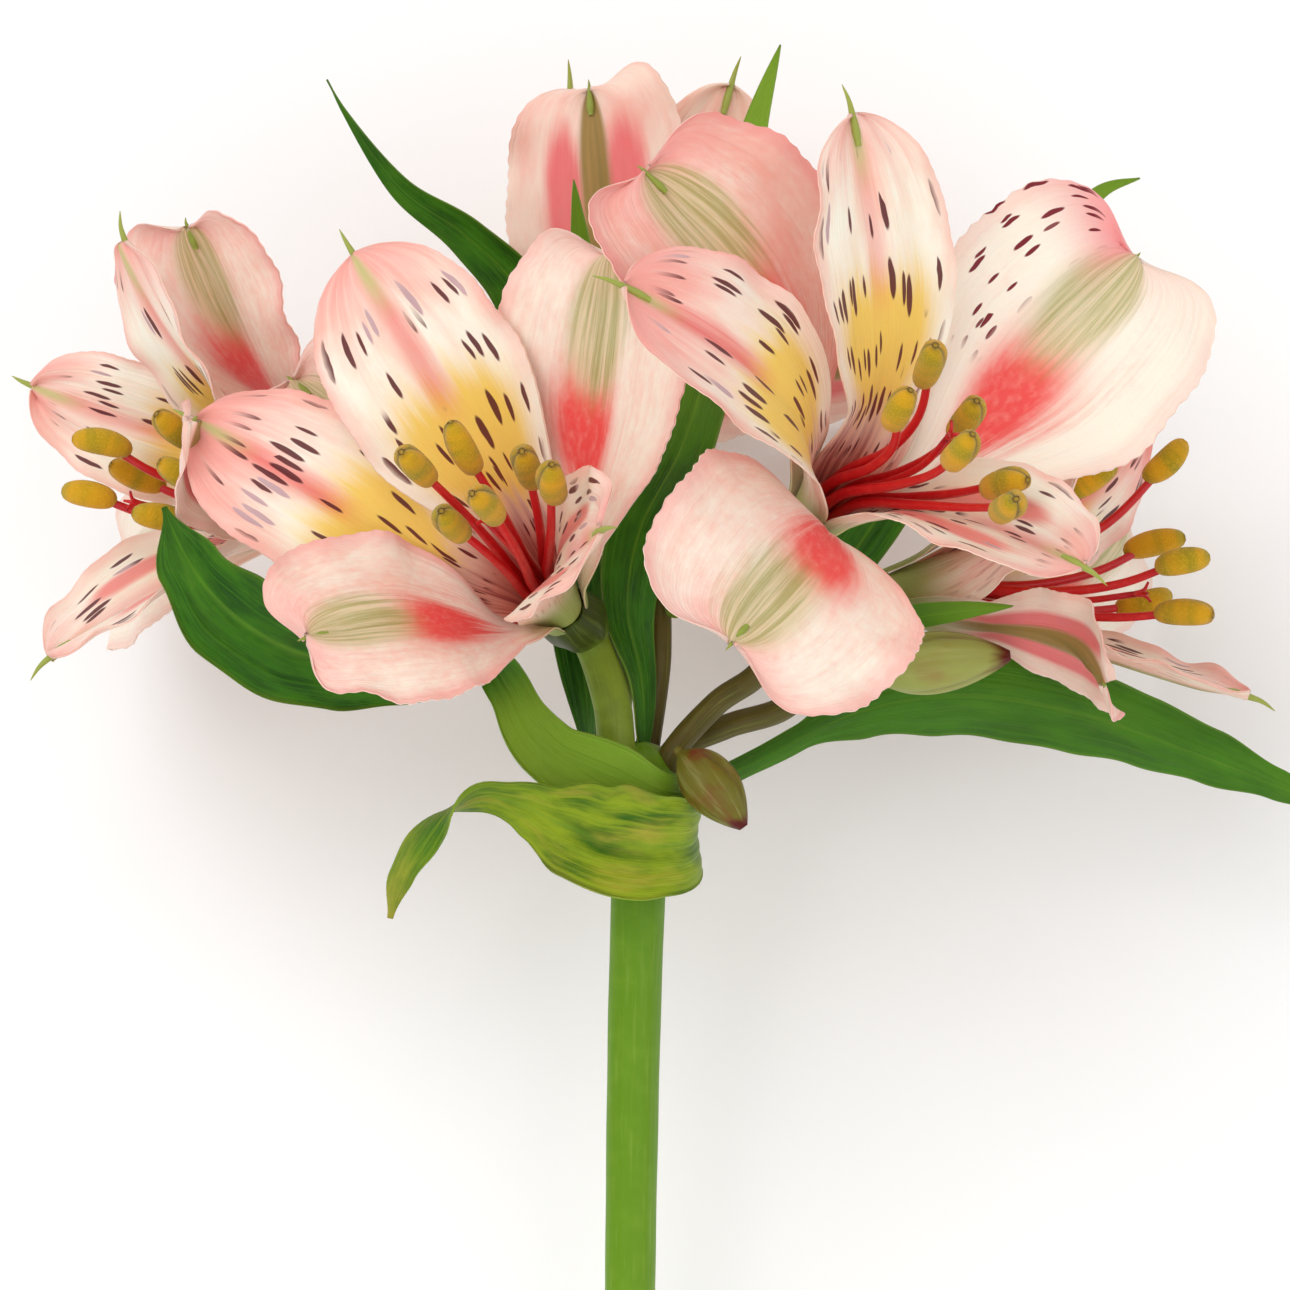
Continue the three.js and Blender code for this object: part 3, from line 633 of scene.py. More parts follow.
def tepal_veins(p, edge, share, seed):
    """Fine veins that fan out from the foot of a tepal, and a slow mottle."""
    fine = p.pattern(p.mul(edge, 26.0), p.mul(share, 2.2), seed, detail=4.0, roughness=0.65)
    broad = p.pattern(p.mul(edge, 7.0), p.mul(share, 2.0), seed)
    mottle = p.pattern(p.mul(edge, 3.0), p.mul(share, 5.0), p.add(seed, 7.0))
    return fine, broad, mottle


def ink_dashes(p, edge, share, seed, columns, rows):
    """Dashes in rows that fan out along the veins: how dark, and each one's own chance."""
    wobble = p.pattern(p.mul(edge, 5.0), p.mul(share, 9.0), seed, detail=2.0)
    across = p.add(p.add(p.mul(edge, columns), p.mul(p.sub(wobble, 0.5), 0.5)), p.mul(seed, 7.3))
    along = p.add(p.mul(p.math("POWER", share, 0.78), rows), p.mul(seed, 3.1))
    distance, colour_of_cell = p.cells(p.vector(across, along), 0.8)
    split = p.tree.nodes.new("ShaderNodeSeparateColor")
    p.feed(split.inputs[0], colour_of_cell)
    size = p.add(p.mul(split.outputs[0], 0.16), 0.16)
    near = p.step(p.sub(distance, size), -0.03, 0.05, 1.0, 0.0)
    return near, split.outputs[1], split.outputs[2]


def outer_tepal_paint():
    p = Paint("outer_tepal_petal", 0.5, 0.35, subsurface=0.2, sheen=0.05)
    edge, share, seed, back, flush = p.values("edge share seed back flush")
    fine, broad, mottle = tepal_veins(p, edge, share, seed)
    away = p.math("ABSOLUTE", edge)
    streak = p.add(p.mul(p.sub(broad, 0.5), 0.6), p.mul(p.sub(fine, 0.5), 0.45))
    # Face: cream low down and at one side, pink to the margins
    pinkness = p.add(p.add(p.mul(mottle, 0.8), p.mul(flush, 0.75)), p.mul(streak, 0.3))
    grain = p.pattern(p.mul(edge, 16.0), p.mul(share, 34.0), seed)
    pinkness = p.add(pinkness, p.mul(p.sub(grain, 0.5), 0.5))
    face = p.blend(p.step(pinkness, 0.5, 1.4), "#FAEEDD", "#F6B0A0")
    outermost = p.math("MAXIMUM", away, p.mul(share, 0.97))
    rim = p.mul(p.step(outermost, 0.78, 1.0), p.add(p.mul(flush, 0.5), 0.2))
    face = p.blend(rim, face, "#F28F8C")
    # The coral blotch, drawn out in streaks
    shift = p.mul(p.sub(p.pattern(seed, 3.0, detail=0.0), 0.5), 0.8)
    blotch = p.mul(
        p.hump(p.add(share, p.mul(streak, 0.3)), 0.5, 0.33),
        p.hump(p.add(p.add(edge, shift), p.mul(streak, 0.35)), 0.0, 0.62),
    )
    coral = p.step(p.add(blotch, p.mul(streak, 0.6)), 0.02, 0.8)
    face = p.blend(p.mul(coral, p.step(grain, 0.2, 0.6, 0.86, 1.0)), face, "#F04E4A")
    # The green patch under the tip, striped by the veins
    olive = p.mul(p.hump(share, 0.85, 0.36), p.hump(p.add(edge, p.mul(streak, 0.3)), 0.0, 0.5))
    green = p.blend(p.step(fine, 0.35, 0.65), "#DCC79C", "#A09E4C")
    face = p.blend(p.mul(p.step(p.add(olive, p.mul(streak, 0.4)), 0.05, 0.62), 0.8), face, green)
    near, chance, _ = ink_dashes(p, edge, share, seed, 15.0, 15.0)
    where = p.mul(p.step(share, 0.5, 0.58), p.step(share, 1.0, 0.93), p.step(away, 0.3, 0.4))
    ink = p.mul(near, where, p.step(chance, 0.5, 0.54), p.value("inked"))
    face = p.blend(p.mul(p.value("inked"), p.step(share, 0.78, 1.0), 0.75), face, "#F2858C")
    face = p.blend(ink, face, "#7A1522")
    face = p.blend(p.step(share, 0.28, 0.05), face, "#E9CFA6")
    # Behind: paler, with a broad olive midrib between coral flanks
    rear = p.blend(p.step(mottle, 0.35, 0.8), "#FBDCCB", "#F7B8A8")
    flank = p.mul(p.hump(away, 0.34, 0.42), p.step(share, 0.12, 0.45), p.step(share, 1.0, 0.72))
    rear = p.blend(p.mul(p.step(p.add(flank, p.mul(streak, 0.5)), 0.15, 0.75), 0.85), rear, "#EE5F66")
    rib = p.step(p.hump(p.add(edge, p.mul(streak, 0.14)), 0.0, 0.3), 0.1, 0.7)
    rear = p.blend(p.mul(rib, p.step(share, 0.1, 0.35)), rear, p.blend(fine, "#B98A4C", "#7D7433"))
    rear = p.blend(p.step(share, 0.32, 0.04), rear, "#8F9C4A")
    colour = p.blend(back, face, rear)
    colour = p.blend(p.mul(p.step(fine, 0.48, 0.8), 0.16), colour, "#EDB09E", "MULTIPLY")
    colour = p.blend(p.value("point"), colour, "#8E9A3C")
    relief = p.add(p.mul(fine, 0.8), p.mul(broad, 0.7))
    return p.finish(colour, relief, 0.0004, 0.55)


def inner_tepal_paint():
    p = Paint("inner_tepal_petal", 0.46, 0.38, subsurface=0.2, sheen=0.04)
    edge, share, seed, back, low, flush = p.values("edge share seed back low flush")
    fine, broad, mottle = tepal_veins(p, edge, share, seed)
    away = p.math("ABSOLUTE", edge)
    streak = p.add(p.mul(p.sub(broad, 0.5), 0.6), p.mul(p.sub(fine, 0.5), 0.35))
    face = p.blend(p.step(mottle, 0.3, 0.75), "#FCF5E4", "#FAE8D2")
    # Yellow in the middle, red in the throat
    glow = p.mul(p.hump(p.add(share, p.mul(streak, 0.25)), 0.46, 0.3), p.step(away, 1.1, 0.3))
    high = p.sub(1.0, p.mul(low, 0.85))
    face = p.blend(p.mul(p.step(glow, 0.05, 0.75), high, 0.95), face, "#F4CC52")
    throat = p.step(p.add(share, p.mul(streak, 0.35)), 0.4, 0.1)
    red = p.blend(p.step(broad, 0.35, 0.6), "#B3221C", "#EA8468")
    face = p.blend(p.mul(throat, high, 0.9), face, red)
    # Pink tip and shoulders, and a pink stripe up the middle of the blade
    reach = p.add(p.add(share, p.mul(streak, 0.35)), p.add(p.mul(mottle, 0.2), p.mul(flush, 0.24)))
    blush = p.mul(p.step(reach, 0.86, 1.26), 0.92)
    sides = p.add(p.add(away, p.mul(mottle, 0.3)), p.mul(flush, 0.2))
    shoulder = p.mul(p.step(sides, 0.9, 1.35), p.step(share, 0.4, 0.75))
    face = p.blend(p.math("MAXIMUM", blush, p.mul(shoulder, 0.8)), face, "#F49C92")
    stripe = p.mul(
        p.hump(p.add(edge, p.mul(streak, 0.3)), 0.0, 0.26),
        p.step(share, 0.5, 0.66),
        p.step(share, 0.98, 0.84),
        p.add(p.mul(flush, 0.6), 0.35),
    )
    face = p.blend(stripe, face, "#EA5E5C")
    bands = p.mul(p.hump(away, 0.42, 0.3), p.step(share, 0.25, 0.45), p.step(share, 0.9, 0.7), low)
    face = p.blend(p.mul(p.step(p.add(bands, p.mul(streak, 0.5)), 0.15, 0.8), 0.8), face, "#EE6A66")
    # The tip of the midrib is pale green
    face = p.blend(p.mul(p.hump(edge, 0.0, 0.2), p.step(share, 0.8, 0.95), 0.9), face, "#C6C07A")
    # Maroon dashes, small and close in the throat
    near, chance, other = ink_dashes(p, edge, share, seed, 8.4, 7.6)
    where = p.mul(p.step(share, 0.15, 0.2), p.step(share, 0.95, 0.85), p.step(away, 0.96, 0.84))
    kept = p.step(p.add(chance, p.step(share, 0.3, 0.85, 0.12, -0.12)), 0.44, 0.47)
    dash = p.mul(near, where, kept)
    ghost = p.mul(p.step(other, 0.8, 0.82), p.step(share, 0.62, 0.66))
    ink = p.blend(ghost, p.blend(p.step(share, 0.25, 0.6), "#6E0A12", "#5C0610"), "#C4A0A4")
    face = p.blend(p.mul(dash, 0.96), face, ink)
    rear = p.blend(p.step(mottle, 0.3, 0.7), "#F9E2CE", "#F5BCAA")
    rear = p.blend(p.mul(p.hump(edge, 0.0, 0.34), 0.75), rear, "#DDA088")
    rear = p.blend(p.mul(p.hump(edge, 0.0, 0.14), p.step(share, 0.2, 0.5)), rear, "#A39E52")
    rear = p.blend(p.mul(dash, 0.3), rear, "#A85050")
    rear = p.blend(p.step(share, 0.3, 0.04), rear, "#97A04E")
    colour = p.blend(back, face, rear)
    colour = p.blend(p.mul(p.step(fine, 0.5, 0.85), 0.18), colour, "#F0B9A4", "MULTIPLY")
    colour = p.blend(p.value("point"), colour, "#9BA446")
    relief = p.add(p.mul(fine, 0.7), p.mul(broad, 0.6))
    return p.finish(colour, relief, 0.00035, 0.5)


def filament_paint():
    p = Paint("filament_red", 0.35, 0.5, subsurface=0.15)
    share = p.value("share")
    mottle = p.pattern(p.mul(share, 22.0), p.mul(p.value("turn"), 3.0), p.value("seed"), detail=2.0)
    colour = p.blend(p.step(share, 0.0, 0.3), "#D8503C", "#C60C16")
    colour = p.blend(p.mul(p.step(mottle, 0.45, 0.8), 0.45), colour, "#E2362C")
    colour = p.blend(p.step(share, 0.85, 1.0), colour, "#B5122A")
    return p.finish(colour, mottle, 0.0001, 0.3)


def anther_paint():
    p = Paint("anther_pollen", 0.75, 0.2, sheen=0.2)
    share, along, turn, seed = p.values("share length turn seed")
    grain = p.pattern(p.mul(along, 3.0), p.mul(turn, 22.0), seed, scale=2.2)
    slow = p.pattern(p.mul(share, 3.0), turn, seed, detail=2.0)
    colour = p.blend(p.step(slow, 0.3, 0.65), "#A8920E", "#DBA20E")
    colour = p.blend(p.mul(p.step(grain, 0.45, 0.75), 0.6), colour, "#E2B92C")
    # Painted shade: darker in the creases between the anther's lobes
    colour = p.blend(p.mul(p.value("groove"), 0.8), colour, "#6E6410")
    return p.finish(colour, grain, 0.00025, 0.8)


def stalk_paint(name, base, tip, swelling, swollen):
    """Smooth plant skin along a stem, in the swelling's colour over its last millimetres."""
    p = Paint(name, 0.42, 0.24, subsurface=0.06, radius=(0.5, 0.8, 0.2))
    share, turn, length, seed = p.values("share turn length seed")
    skin = p.pattern(p.mul(turn, 34.0), p.mul(length, 0.12), seed, detail=4.0, roughness=0.6)
    mottle = p.pattern(p.mul(turn, 5.0), p.mul(length, 0.35), seed)
    colour = p.blend(share, base, tip)
    colour = p.blend(p.mul(p.step(mottle, 0.4, 0.8), 0.35), colour, swelling)
    colour = p.blend(p.step(p.value("left"), swollen + 3.0, swollen - 3.0), colour, swelling)
    colour = p.blend(p.mul(p.step(skin, 0.5, 0.8), 0.3), colour, "#9DB552")
    colour = p.blend(p.value("cut"), colour, p.blend(p.step(mottle, 0.4, 0.6), "#DCE3B4", "#C6D290"))
    relief = p.add(p.mul(skin, 0.6), p.mul(mottle, 0.3))
    return p.finish(colour, relief, 0.0002, 0.35)


def leaf_paint(name, deep, light, dry, dryness):
    """Waxy leaf skin with long parallel veins; dry colours the tip and margins."""
    p = Paint(name, 0.4, 0.2, subsurface=0.04, radius=(0.3, 0.8, 0.1))
    edge, share, across, along, seed = p.values("edge share across length seed")
    vein = p.pattern(p.mul(edge, 13.0), p.mul(along, 0.02), seed, roughness=0.6)
    thread = p.pattern(p.mul(across, 9.0), p.mul(along, 0.35), seed)
    mottle = p.pattern(p.mul(across, 0.4), p.mul(along, 0.12), seed, detail=4.0)
    colour = p.blend(p.step(mottle, 0.3, 0.72), deep, light)
    colour = p.blend(p.mul(p.step(vein, 0.48, 0.66), 0.6), colour, light)
    colour = p.blend(p.mul(p.step(thread, 0.5, 0.8), 0.16), colour, "#7FA51E")
    midrib = p.hump(edge, 0.0, 0.09)
    colour = p.blend(p.mul(midrib, 0.35), colour, "#6F9A26")
    colour = p.blend(p.mul(p.value("back"), 0.4), colour, "#4F8216")
    colour = p.blend(p.mul(p.value("pale"), 0.8), colour, "#8AB02E")
    margin = p.step(p.math("ABSOLUTE", edge), 0.9, 1.0)
    colour = p.blend(p.mul(margin, 0.25), colour, "#9DB84E")
    worn = p.mul(p.step(p.add(p.mul(mottle, 0.5), share), 1.05, 1.35), dryness)
    colour = p.blend(worn, colour, dry)
    patch = p.pattern(p.mul(edge, 2.0), p.mul(along, 0.09), seed)
    patch = p.mul(p.step(patch, 0.52, 0.75), dryness)
    colour = p.blend(p.mul(patch, 0.7), colour, dry)
    relief = p.add(p.mul(vein, 1.0), p.mul(thread, 0.35))
    gloss = p.step(mottle, 0.2, 0.8, 0.3, 0.5)
    return p.finish(colour, relief, 0.0004, 0.5, gloss)


def bud_paint(name, skin, flush, tip):
    p = Paint(name, 0.4, 0.25, subsurface=0.08)
    share, turn, seed = p.values("share turn seed")
    rib = p.pattern(p.mul(turn, 24.0), p.mul(share, 1.6), seed)
    mottle = p.pattern(p.mul(turn, 4.0), p.mul(share, 3.0), seed)
    colour = p.blend(p.step(mottle, 0.42, 0.7), skin, flush)
    colour = p.blend(p.mul(p.step(rib, 0.5, 0.75), 0.4), colour, "#B9BC7C")
    colour = p.blend(p.step(p.add(share, p.mul(mottle, 0.25)), 0.98, 1.1), colour, tip)
    # Painted shade: darker along the pressed-in grooves between the tepals
    colour = p.blend(p.mul(p.value("groove"), 0.6), colour, "#6B5A2C")
    return p.finish(colour, p.mul(rib, 1.0), 0.0003, 0.45)


def floor_paint():
    p = Paint("pale_table", 0.85, 0.15)
    place_on = p.tree.nodes.new("ShaderNodeTexCoord").outputs["Object"]
    mottle = p.noise(place_on, 6.0, 3.0)
    colour = p.blend(p.mul(mottle, 0.5), "#FFFFFF", "#FBFAF8")
    return p.finish(colour, p.noise(place_on, 900.0, 2.0), 0.0001, 0.05)


OUTER = outer_tepal_paint()
INNER = inner_tepal_paint()
FILAMENT = filament_paint()
ANTHER = anther_paint()
GREEN_STALK = stalk_paint("green_stalk", "#86A032", "#6E8420", "#38440C", 7.0)
BROWN_STALK = stalk_paint("brown_stalk", "#5E541E", "#4E441C", "#3A400E", 7.0)
STEM = stalk_paint("bare_stem", "#69930C", "#5C8806", "#7BA128", -9.0)
LEAF = leaf_paint("green_leaf", "#174A03", "#3A780A", "#6C9022", 0.2)
OLIVE_LEAF = leaf_paint("olive_leaf", "#2F6206", "#92AA1C", "#BBAA42", 0.8)
PALE_BUD = bud_paint("pale_bud", "#9CA352", "#9A8A4A", "#5E1812")
DARK_BUD = bud_paint("dark_bud", "#6E6A1C", "#7A3A1E", "#5A100C")

# -------- flowers


def outer_outline(s):
    """The half width of an outer tepal as a share of its widest, widest at share 0.66."""
    claw = 0.1 + 0.9 * ease(s, 0.1, 0.66)
    beyond = np.maximum(s - 0.66, 0) / 0.34
    return np.where(s < 0.66, claw, np.sqrt(np.maximum(0.002, 1 - beyond**2.6)))


def inner_outline(s):
    """The same of an inner tepal, widest at share 0.7."""
    claw = 0.14 + 0.86 * ease(s, 0.06, 0.62)
    beyond = np.maximum(s - 0.7, 0) / 0.3
    return np.where(s < 0.7, claw, np.sqrt(np.maximum(0.003, 1 - beyond**2)))


def flower_frame(flower):
    axis = unit(flower["axis"])
    top = np.asarray(flower["top"], float)
    top = unit(top - axis * np.dot(top, axis))
    return np.asarray(flower["base"], float), axis, top, np.cross(top, axis)


KINDS = {
    "outer": dict(
        ring=OUTER_RING, length=OUTER_LENGTH, width=OUTER_WIDTH,
        claw=16, flare=56, tip=74, cup=0.12, brim=0.1, lobe=3.5,
    ),
    "inner": dict(
        ring=INNER_RING, length=INNER_LENGTH, width=INNER_WIDTH,
        claw=9, flare=44, tip=62, cup=0.4, brim=0.08, lobe=0,
    ),
}
# How pink some of the tepals are, and the outer one that has dashes on one side
FLUSH = {
    "front_right top_outer": 0.95,
    "front_right right_outer": 0.1,
    "front_right left_outer": 0.55,
    "front_right right_inner": 0.15,
    "front_right left_inner": 0.8,
    "front_left right_outer": 0.45,
    "front_left left_outer": 0.6,
    "front_left right_inner": 0.4,
    "front_left left_inner": 0.75,
}
INKED_TEPAL = "front_right right_outer"
# Sheets thin out from the midrib to the margin
TEPAL_THICKNESS = (0.5, 0.22)
LEAF_THICKNESS = (0.6, 0.28)
# Uneven margins: waves and teeth as shares of the width, ruffles in millimetres
MARGIN_WAVES = 0.032
MARGIN_TEETH = {"outer": 0.017, "inner": 0.01}
RUFFLE = {"outer": 0.55, "inner": 0.4}
CREASE_DEPTH = 0.45
# The green point at the end of a midrib: long on an inner tepal, a stub on an outer one
POINT_LENGTH = {"outer": 1, "inner": 3.2}
POINT_GIRTH = {"outer": 0.5, "inner": 0.55}
POINT_BEND = {"outer": -0.6, "inner": -0.5}
# How far from the midrib a tepal's lobes begin, as a share of its width
NOTCH_SHARE = 0.2
# The claws are drawn in to this ring, below this share of a tepal, to close the cup
CLAW_RING = {"outer": 2.7, "inner": 2.2}
CLAW_SHARE = 0.3
CLAW_WIDTH = {"outer": 6, "inner": 9.5}

# Each tepal's kind, the place it grows at and the turn it opens to
PLACES = {
    "top_outer": ("outer", 0, 0),
    "right_outer": ("outer", 120, 100),
    "left_outer": ("outer", -120, -100),
    "right_inner": ("inner", 60, 42),
    "left_inner": ("inner", -60, -42),
    "low_inner": ("inner", 180, 180),
}

SPINE_STEPS = 120
TEPAL_ROWS = 120
TEPAL_COLUMNS = 29


def tepal(flower_name, name):
    flower = FLOWERS[flower_name]
    base, axis, top, side = flower_frame(flower)
    kind, place_turn, turn = PLACES[name]
    t = dict(KINDS[kind], place=place_turn, turn=turn, roll=0, skew=0)
    t.update(flower["tepals"].get(name, {}))
    rng = seeded(flower_name + name)
    s = (np.arange(SPINE_STEPS + 1)) / SPINE_STEPS
    lean = np.radians(mix(mix(t["claw"], t["flare"], ease(s, 0.05, 0.6)), t["tip"], ease(s, 0.5, 1)))
    swing = np.radians(mix(t["place"], t["turn"], ease(s, 0, 0.4)))
    out = top * np.cos(swing)[:, None] + side * np.sin(swing)[:, None]
    along = axis * np.cos(lean)[:, None] + out * np.sin(lean)[:, None]
    steps = (along[1:] + along[:-1]) / 2 * t["length"] / SPINE_STEPS
    place_out = top * math.cos(math.radians(t["place"])) + side * math.sin(math.radians(t["place"]))
    start = base + place_out * t["ring"] + axis * GAP
    spine = start + np.vstack([np.zeros(3), np.cumsum(steps, axis=0)])
    drawn_in = (t["ring"] - CLAW_RING[kind]) * (1 - ease(s, 0, CLAW_SHARE))
    spine = spine - place_out * drawn_in[:, None] - axis * (1 - ease(s, 0, 0.1))[:, None]
    flat_across = np.cross(axis, out)
    flat_facing = -np.cross(flat_across, along)
    roll = np.radians(t["roll"] * ease(s, 0.1, 0.8))[:, None]
    across = flat_across * np.cos(roll) + flat_facing * np.sin(roll)
    facing = flat_facing * np.cos(roll) - flat_across * np.sin(roll)

    rows = 1 - (1 - np.linspace(0, 1, TEPAL_ROWS)) ** 1.35

    def at(values):
        return np.stack([np.interp(rows, s, values[:, k]) for k in range(3)], -1)

    spine = at(spine)
    across = unit(at(across))
    facing = unit(at(facing))
    tangent = unit(np.gradient(spine, axis=0))
    outline = outer_outline if kind == "outer" else inner_outline
    claw = CLAW_WIDTH[kind] / 2 * ease(rows, -0.15, 0.25) * (1 - ease(rows, 0.3, 0.7))
    half = np.maximum(outline(rows) * t["width"] / 2, claw)
    edge = np.sin(np.linspace(-1, 1, TEPAL_COLUMNS) * math.pi / 2)
    u = edge[None, :]
    v = rows[:, None]
    phase = rng.uniform(0, 2 * math.pi, 12)
    side_phase = np.where(u > 0, phase[0], phase[1])
    waves = np.sin(v * 19 + side_phase) * 0.6 + np.sin(v * 43 + side_phase * 2) * 0.4
    teeth = np.sin(v * 117 + side_phase * 3) * np.sin(v * 71 + side_phase)
    uneven = MARGIN_WAVES * waves + MARGIN_TEETH[kind] * teeth
    ragged = 1 + np.abs(u) ** 4 * ease(v, 0.3, 0.6) * uneven
    width = half[:, None] * u * ragged
    rise = half[:, None] * u**2 * mix(t["cup"], t["brim"], ease(v, 0.3, 0.95))
    # Ruffles at the margin, slow swells in the blade and a crease along the midrib
    ruffle = RUFFLE[kind]
    margin = np.abs(u) ** 3 * ease(v, 0.3, 0.8)
    quick = np.sin(v * 41 + phase[2] + 2 * side_phase)
    ruffles = margin * ruffle * (np.sin(v * 24 + side_phase) + 0.6 * quick)
    tip_waves = ease(v, 0.8, 1.0) * 0.5 * ruffle * np.sin(u * 7 + phase[3])
    swell = 0.35 * ease(v, 0.2, 0.5) * np.sin(u * 3.1 + v * 5 + phase[4])
    swell = swell + 0.2 * np.sin(u * 8 + phase[5] + v * 3) * ease(v, 0.3, 0.7)
    crease = -CREASE_DEPTH * np.exp(-((u / 0.1) ** 2)) * ease(v, 0.1, 0.3) * ease(1 - v, 0.0, 0.15)
    if kind == "outer":
        crease = crease * 1.5 * ease(v, 0.45, 0.8) + crease * 0.4
    height = rise + ruffles + tip_waves + swell + crease
    lobe = t["lobe"] * ease(v, 0.55, 0.95) * (1 + t["skew"] * u)
    ahead = lobe * (1 - np.exp(-((width / (NOTCH_SHARE * t["width"])) ** 2)))
    middle = spine[:, None] + across[:, None] * width[..., None] + facing[:, None] * height[..., None]
    middle = middle + tangent[:, None] * ahead[..., None]
    thickness = mix(*TEPAL_THICKNESS, u**2) * mix(1.1, 0.8, v)
    seed = rng.uniform(0, 50)
    shape = Shape()
    add_sheet(
        shape,
        middle,
        thickness,
        edge=u,
        share=v,
        seed=seed,
        low=1.0 if name == "low_inner" else 0.0,
        flush=FLUSH.get(flower_name + " " + name, rng.uniform(0.15, 0.7)),
        inked=ease(u, 0.05, 0.2) * (1.0 if flower_name + " " + name == INKED_TEPAL else 0.0),
    )
    reach = POINT_LENGTH[kind]
    bend = facing[-1] * POINT_BEND[kind]
    first = np.argmin(np.abs(rows - 0.93))
    route = Route(
        [
            spine[first] - facing[first] * 0.25,
            spine[-1] - facing[-1] * 0.15,
            spine[-1] + tangent[-1] * reach * 0.5 + bend * reach * 0.15,
            spine[-1] + tangent[-1] * reach + bend * reach * 0.5,
        ]
    )

    def girth(share):
        return POINT_GIRTH[kind] * (1.02 - share) ** 0.7 * (0.55 + 0.45 * ease(share, 0, 0.25))

    add_tube(shape, route, girth, 8, 14, point=1.0, edge=0.0, back=0.5)
    return shape, OUTER if kind == "outer" else INNER


def declining(flower, start, length, sway=0, lift=0):
    """The path of a filament or a style: along the flower, then drooping and out to its own side."""
    _, axis, top, side = flower_frame(flower)
    share = np.array([0, 0.25, 0.5, 0.75, 1])
    along = length * (share - 0.12 * share**2)
    up = length * (lift * share**2 - flower["droop"] * ease(share, 0.1, 0.75))
    out = sway * length * share**2
    return start + axis * along[:, None] + top * up[:, None] + side * out[:, None]


def stamens(name, flower):
    base, axis, top, side = flower_frame(flower)
    rng = seeded(name + "stamens")
    shape = Shape()
    collar = [base + axis * (GAP + 0.05), base + axis * (GAP + 0.5)]
    add_tube(
        shape,
        Route(collar),
        lambda k: (FILAMENT_RING + 0.45) * (1 - 0.1 * k),
        24,
        4,
        profile=lambda k, turn: 1 + 0.06 * np.cos(6 * turn)[None, :],
        seed=1.0,
    )
    count = len(flower["anthers"])
    for k, (sway, lift, reach) in enumerate(flower["anthers"]):
        turn = 2 * math.pi * (k + 0.5) / count
        out = top * math.cos(turn) + side * math.sin(turn)
        start = base + out * FILAMENT_RING + axis * (GAP + 0.2)
        path = declining(flower, start, FILAMENT_LENGTH * reach, sway, lift)
        seed = rng.uniform(0, 30)
        add_tube(shape, Route(path), lambda s: FILAMENT_RADIUS * mix(1.35, 0.8, s), 12, 30, seed=seed)
        way = unit(axis * 0.8 + top * lift + side * sway)
        lean = unit(np.cross(way, rng.normal(size=3)))
        tilt = rng.uniform(0.05, 0.22)
        way = unit(way + lean * tilt)
        bow = lean * ANTHER_LENGTH * 0.06
        half = way * ANTHER_LENGTH / 2
        size = rng.uniform(0.88, 1.04)
        body = Route([path[-1] - half * size + bow, path[-1], path[-1] + half * size + bow])

        def lobes(share, turns):
            return (1 - 0.3 * np.exp(-((np.sin(turns) / 0.35) ** 2)))[None, :]

        # groove: where the lobes press in, painted darker as shade in the anther's paint
        groove = np.exp(-((np.sin(np.linspace(0, 2 * math.pi, 20, endpoint=False)) / 0.22) ** 2))
        add_tube(
            shape,
            body,
            lambda s: ANTHER_RADIUS * 1.08 * np.maximum(0.02, 4 * s * (1 - s)) ** 0.38,
            20,
            22,
            slot=1,
            profile=lobes,
            seed=seed,
            groove=groove[None, :],
        )
    return shape


def pistil(flower):
    """The style, with three short lobes at its end."""
    base, axis, top, _ = flower_frame(flower)
    path = declining(flower, base + axis * GAP, STYLE_LENGTH)
    shape = Shape()
    add_tube(shape, Route(path), lambda s: STYLE_RADIUS * mix(1.1, 0.85, s), 10, 26, seed=2.0)
    way = unit(path[-1] - path[-2])
    u = unit(np.cross(way, top))
    v = np.cross(way, u)
    for k in range(3):
        turn = 2 * math.pi * k / 3
        out = u * math.cos(turn) + v * math.sin(turn)
        tip = path[-1]
        lobe = Route([tip - way * 0.3, tip + way * 0.9 + out * 0.35, tip + way * 1.4 + out * 1.2])
        add_tube(shape, lobe, lambda s: STYLE_RADIUS * mix(0.8, 0.35, s), 8, 8, seed=2.0)
    return shape


def pedicel(name, flower):
    base, axis, _, _ = flower_frame(flower)
    foot = base - axis * OVARY_LENGTH
    sunk = np.array([0.7, 0, 0.7]) * flower["stalk"][0] - [0, 1.5, 0]
    route = Route([sunk, *flower["stalk"], foot, base])
    thin = flower.get("stalkRadius", PEDICEL_RADIUS)

    def radius(share):
        left = (1 - share) * route.length
        belly = np.sqrt(np.maximum(0, 1 - ((left - 0.4 * OVARY_LENGTH) / (0.66 * OVARY_LENGTH)) ** 2))
        return (thin**4 + (OVARY_RADIUS * belly) ** 4) ** 0.25

    def ribs(share, turn):
        left = (1 - share) * route.length
        on_ovary = ease(OVARY_LENGTH * 1.15 - left, 0, 2.5)[:, None]
        return 1 + 0.07 * on_ovary * np.cos(6 * turn)[None, :] + 0.02 * np.cos(5 * turn + 1)[None, :]

    steps = 70
    left = (1 - np.linspace(0, 1, steps)) * route.length
    shape = Shape()
    seed = seeded(name).uniform(0, 40)
    add_tube(shape, route, radius, 30, steps, profile=ribs, seed=seed, left=left[:, None])
    return shape


# -------- leaves, buds and stem


def leaf_outline(s, foot, slim):
    swell = np.sin(math.pi * s**0.8) ** slim
    return np.maximum(0.02, mix(foot * (1 - s), 1, swell))


# How yellow-green the tips of the younger leaves are
YOUNG = {
    "tall_leaf": 1,
    "upper_right_leaf": 0.8,
    "inner_bract": 0.6,
    "ray_bract": 0.7,
    "small_bract": 0.6,
}

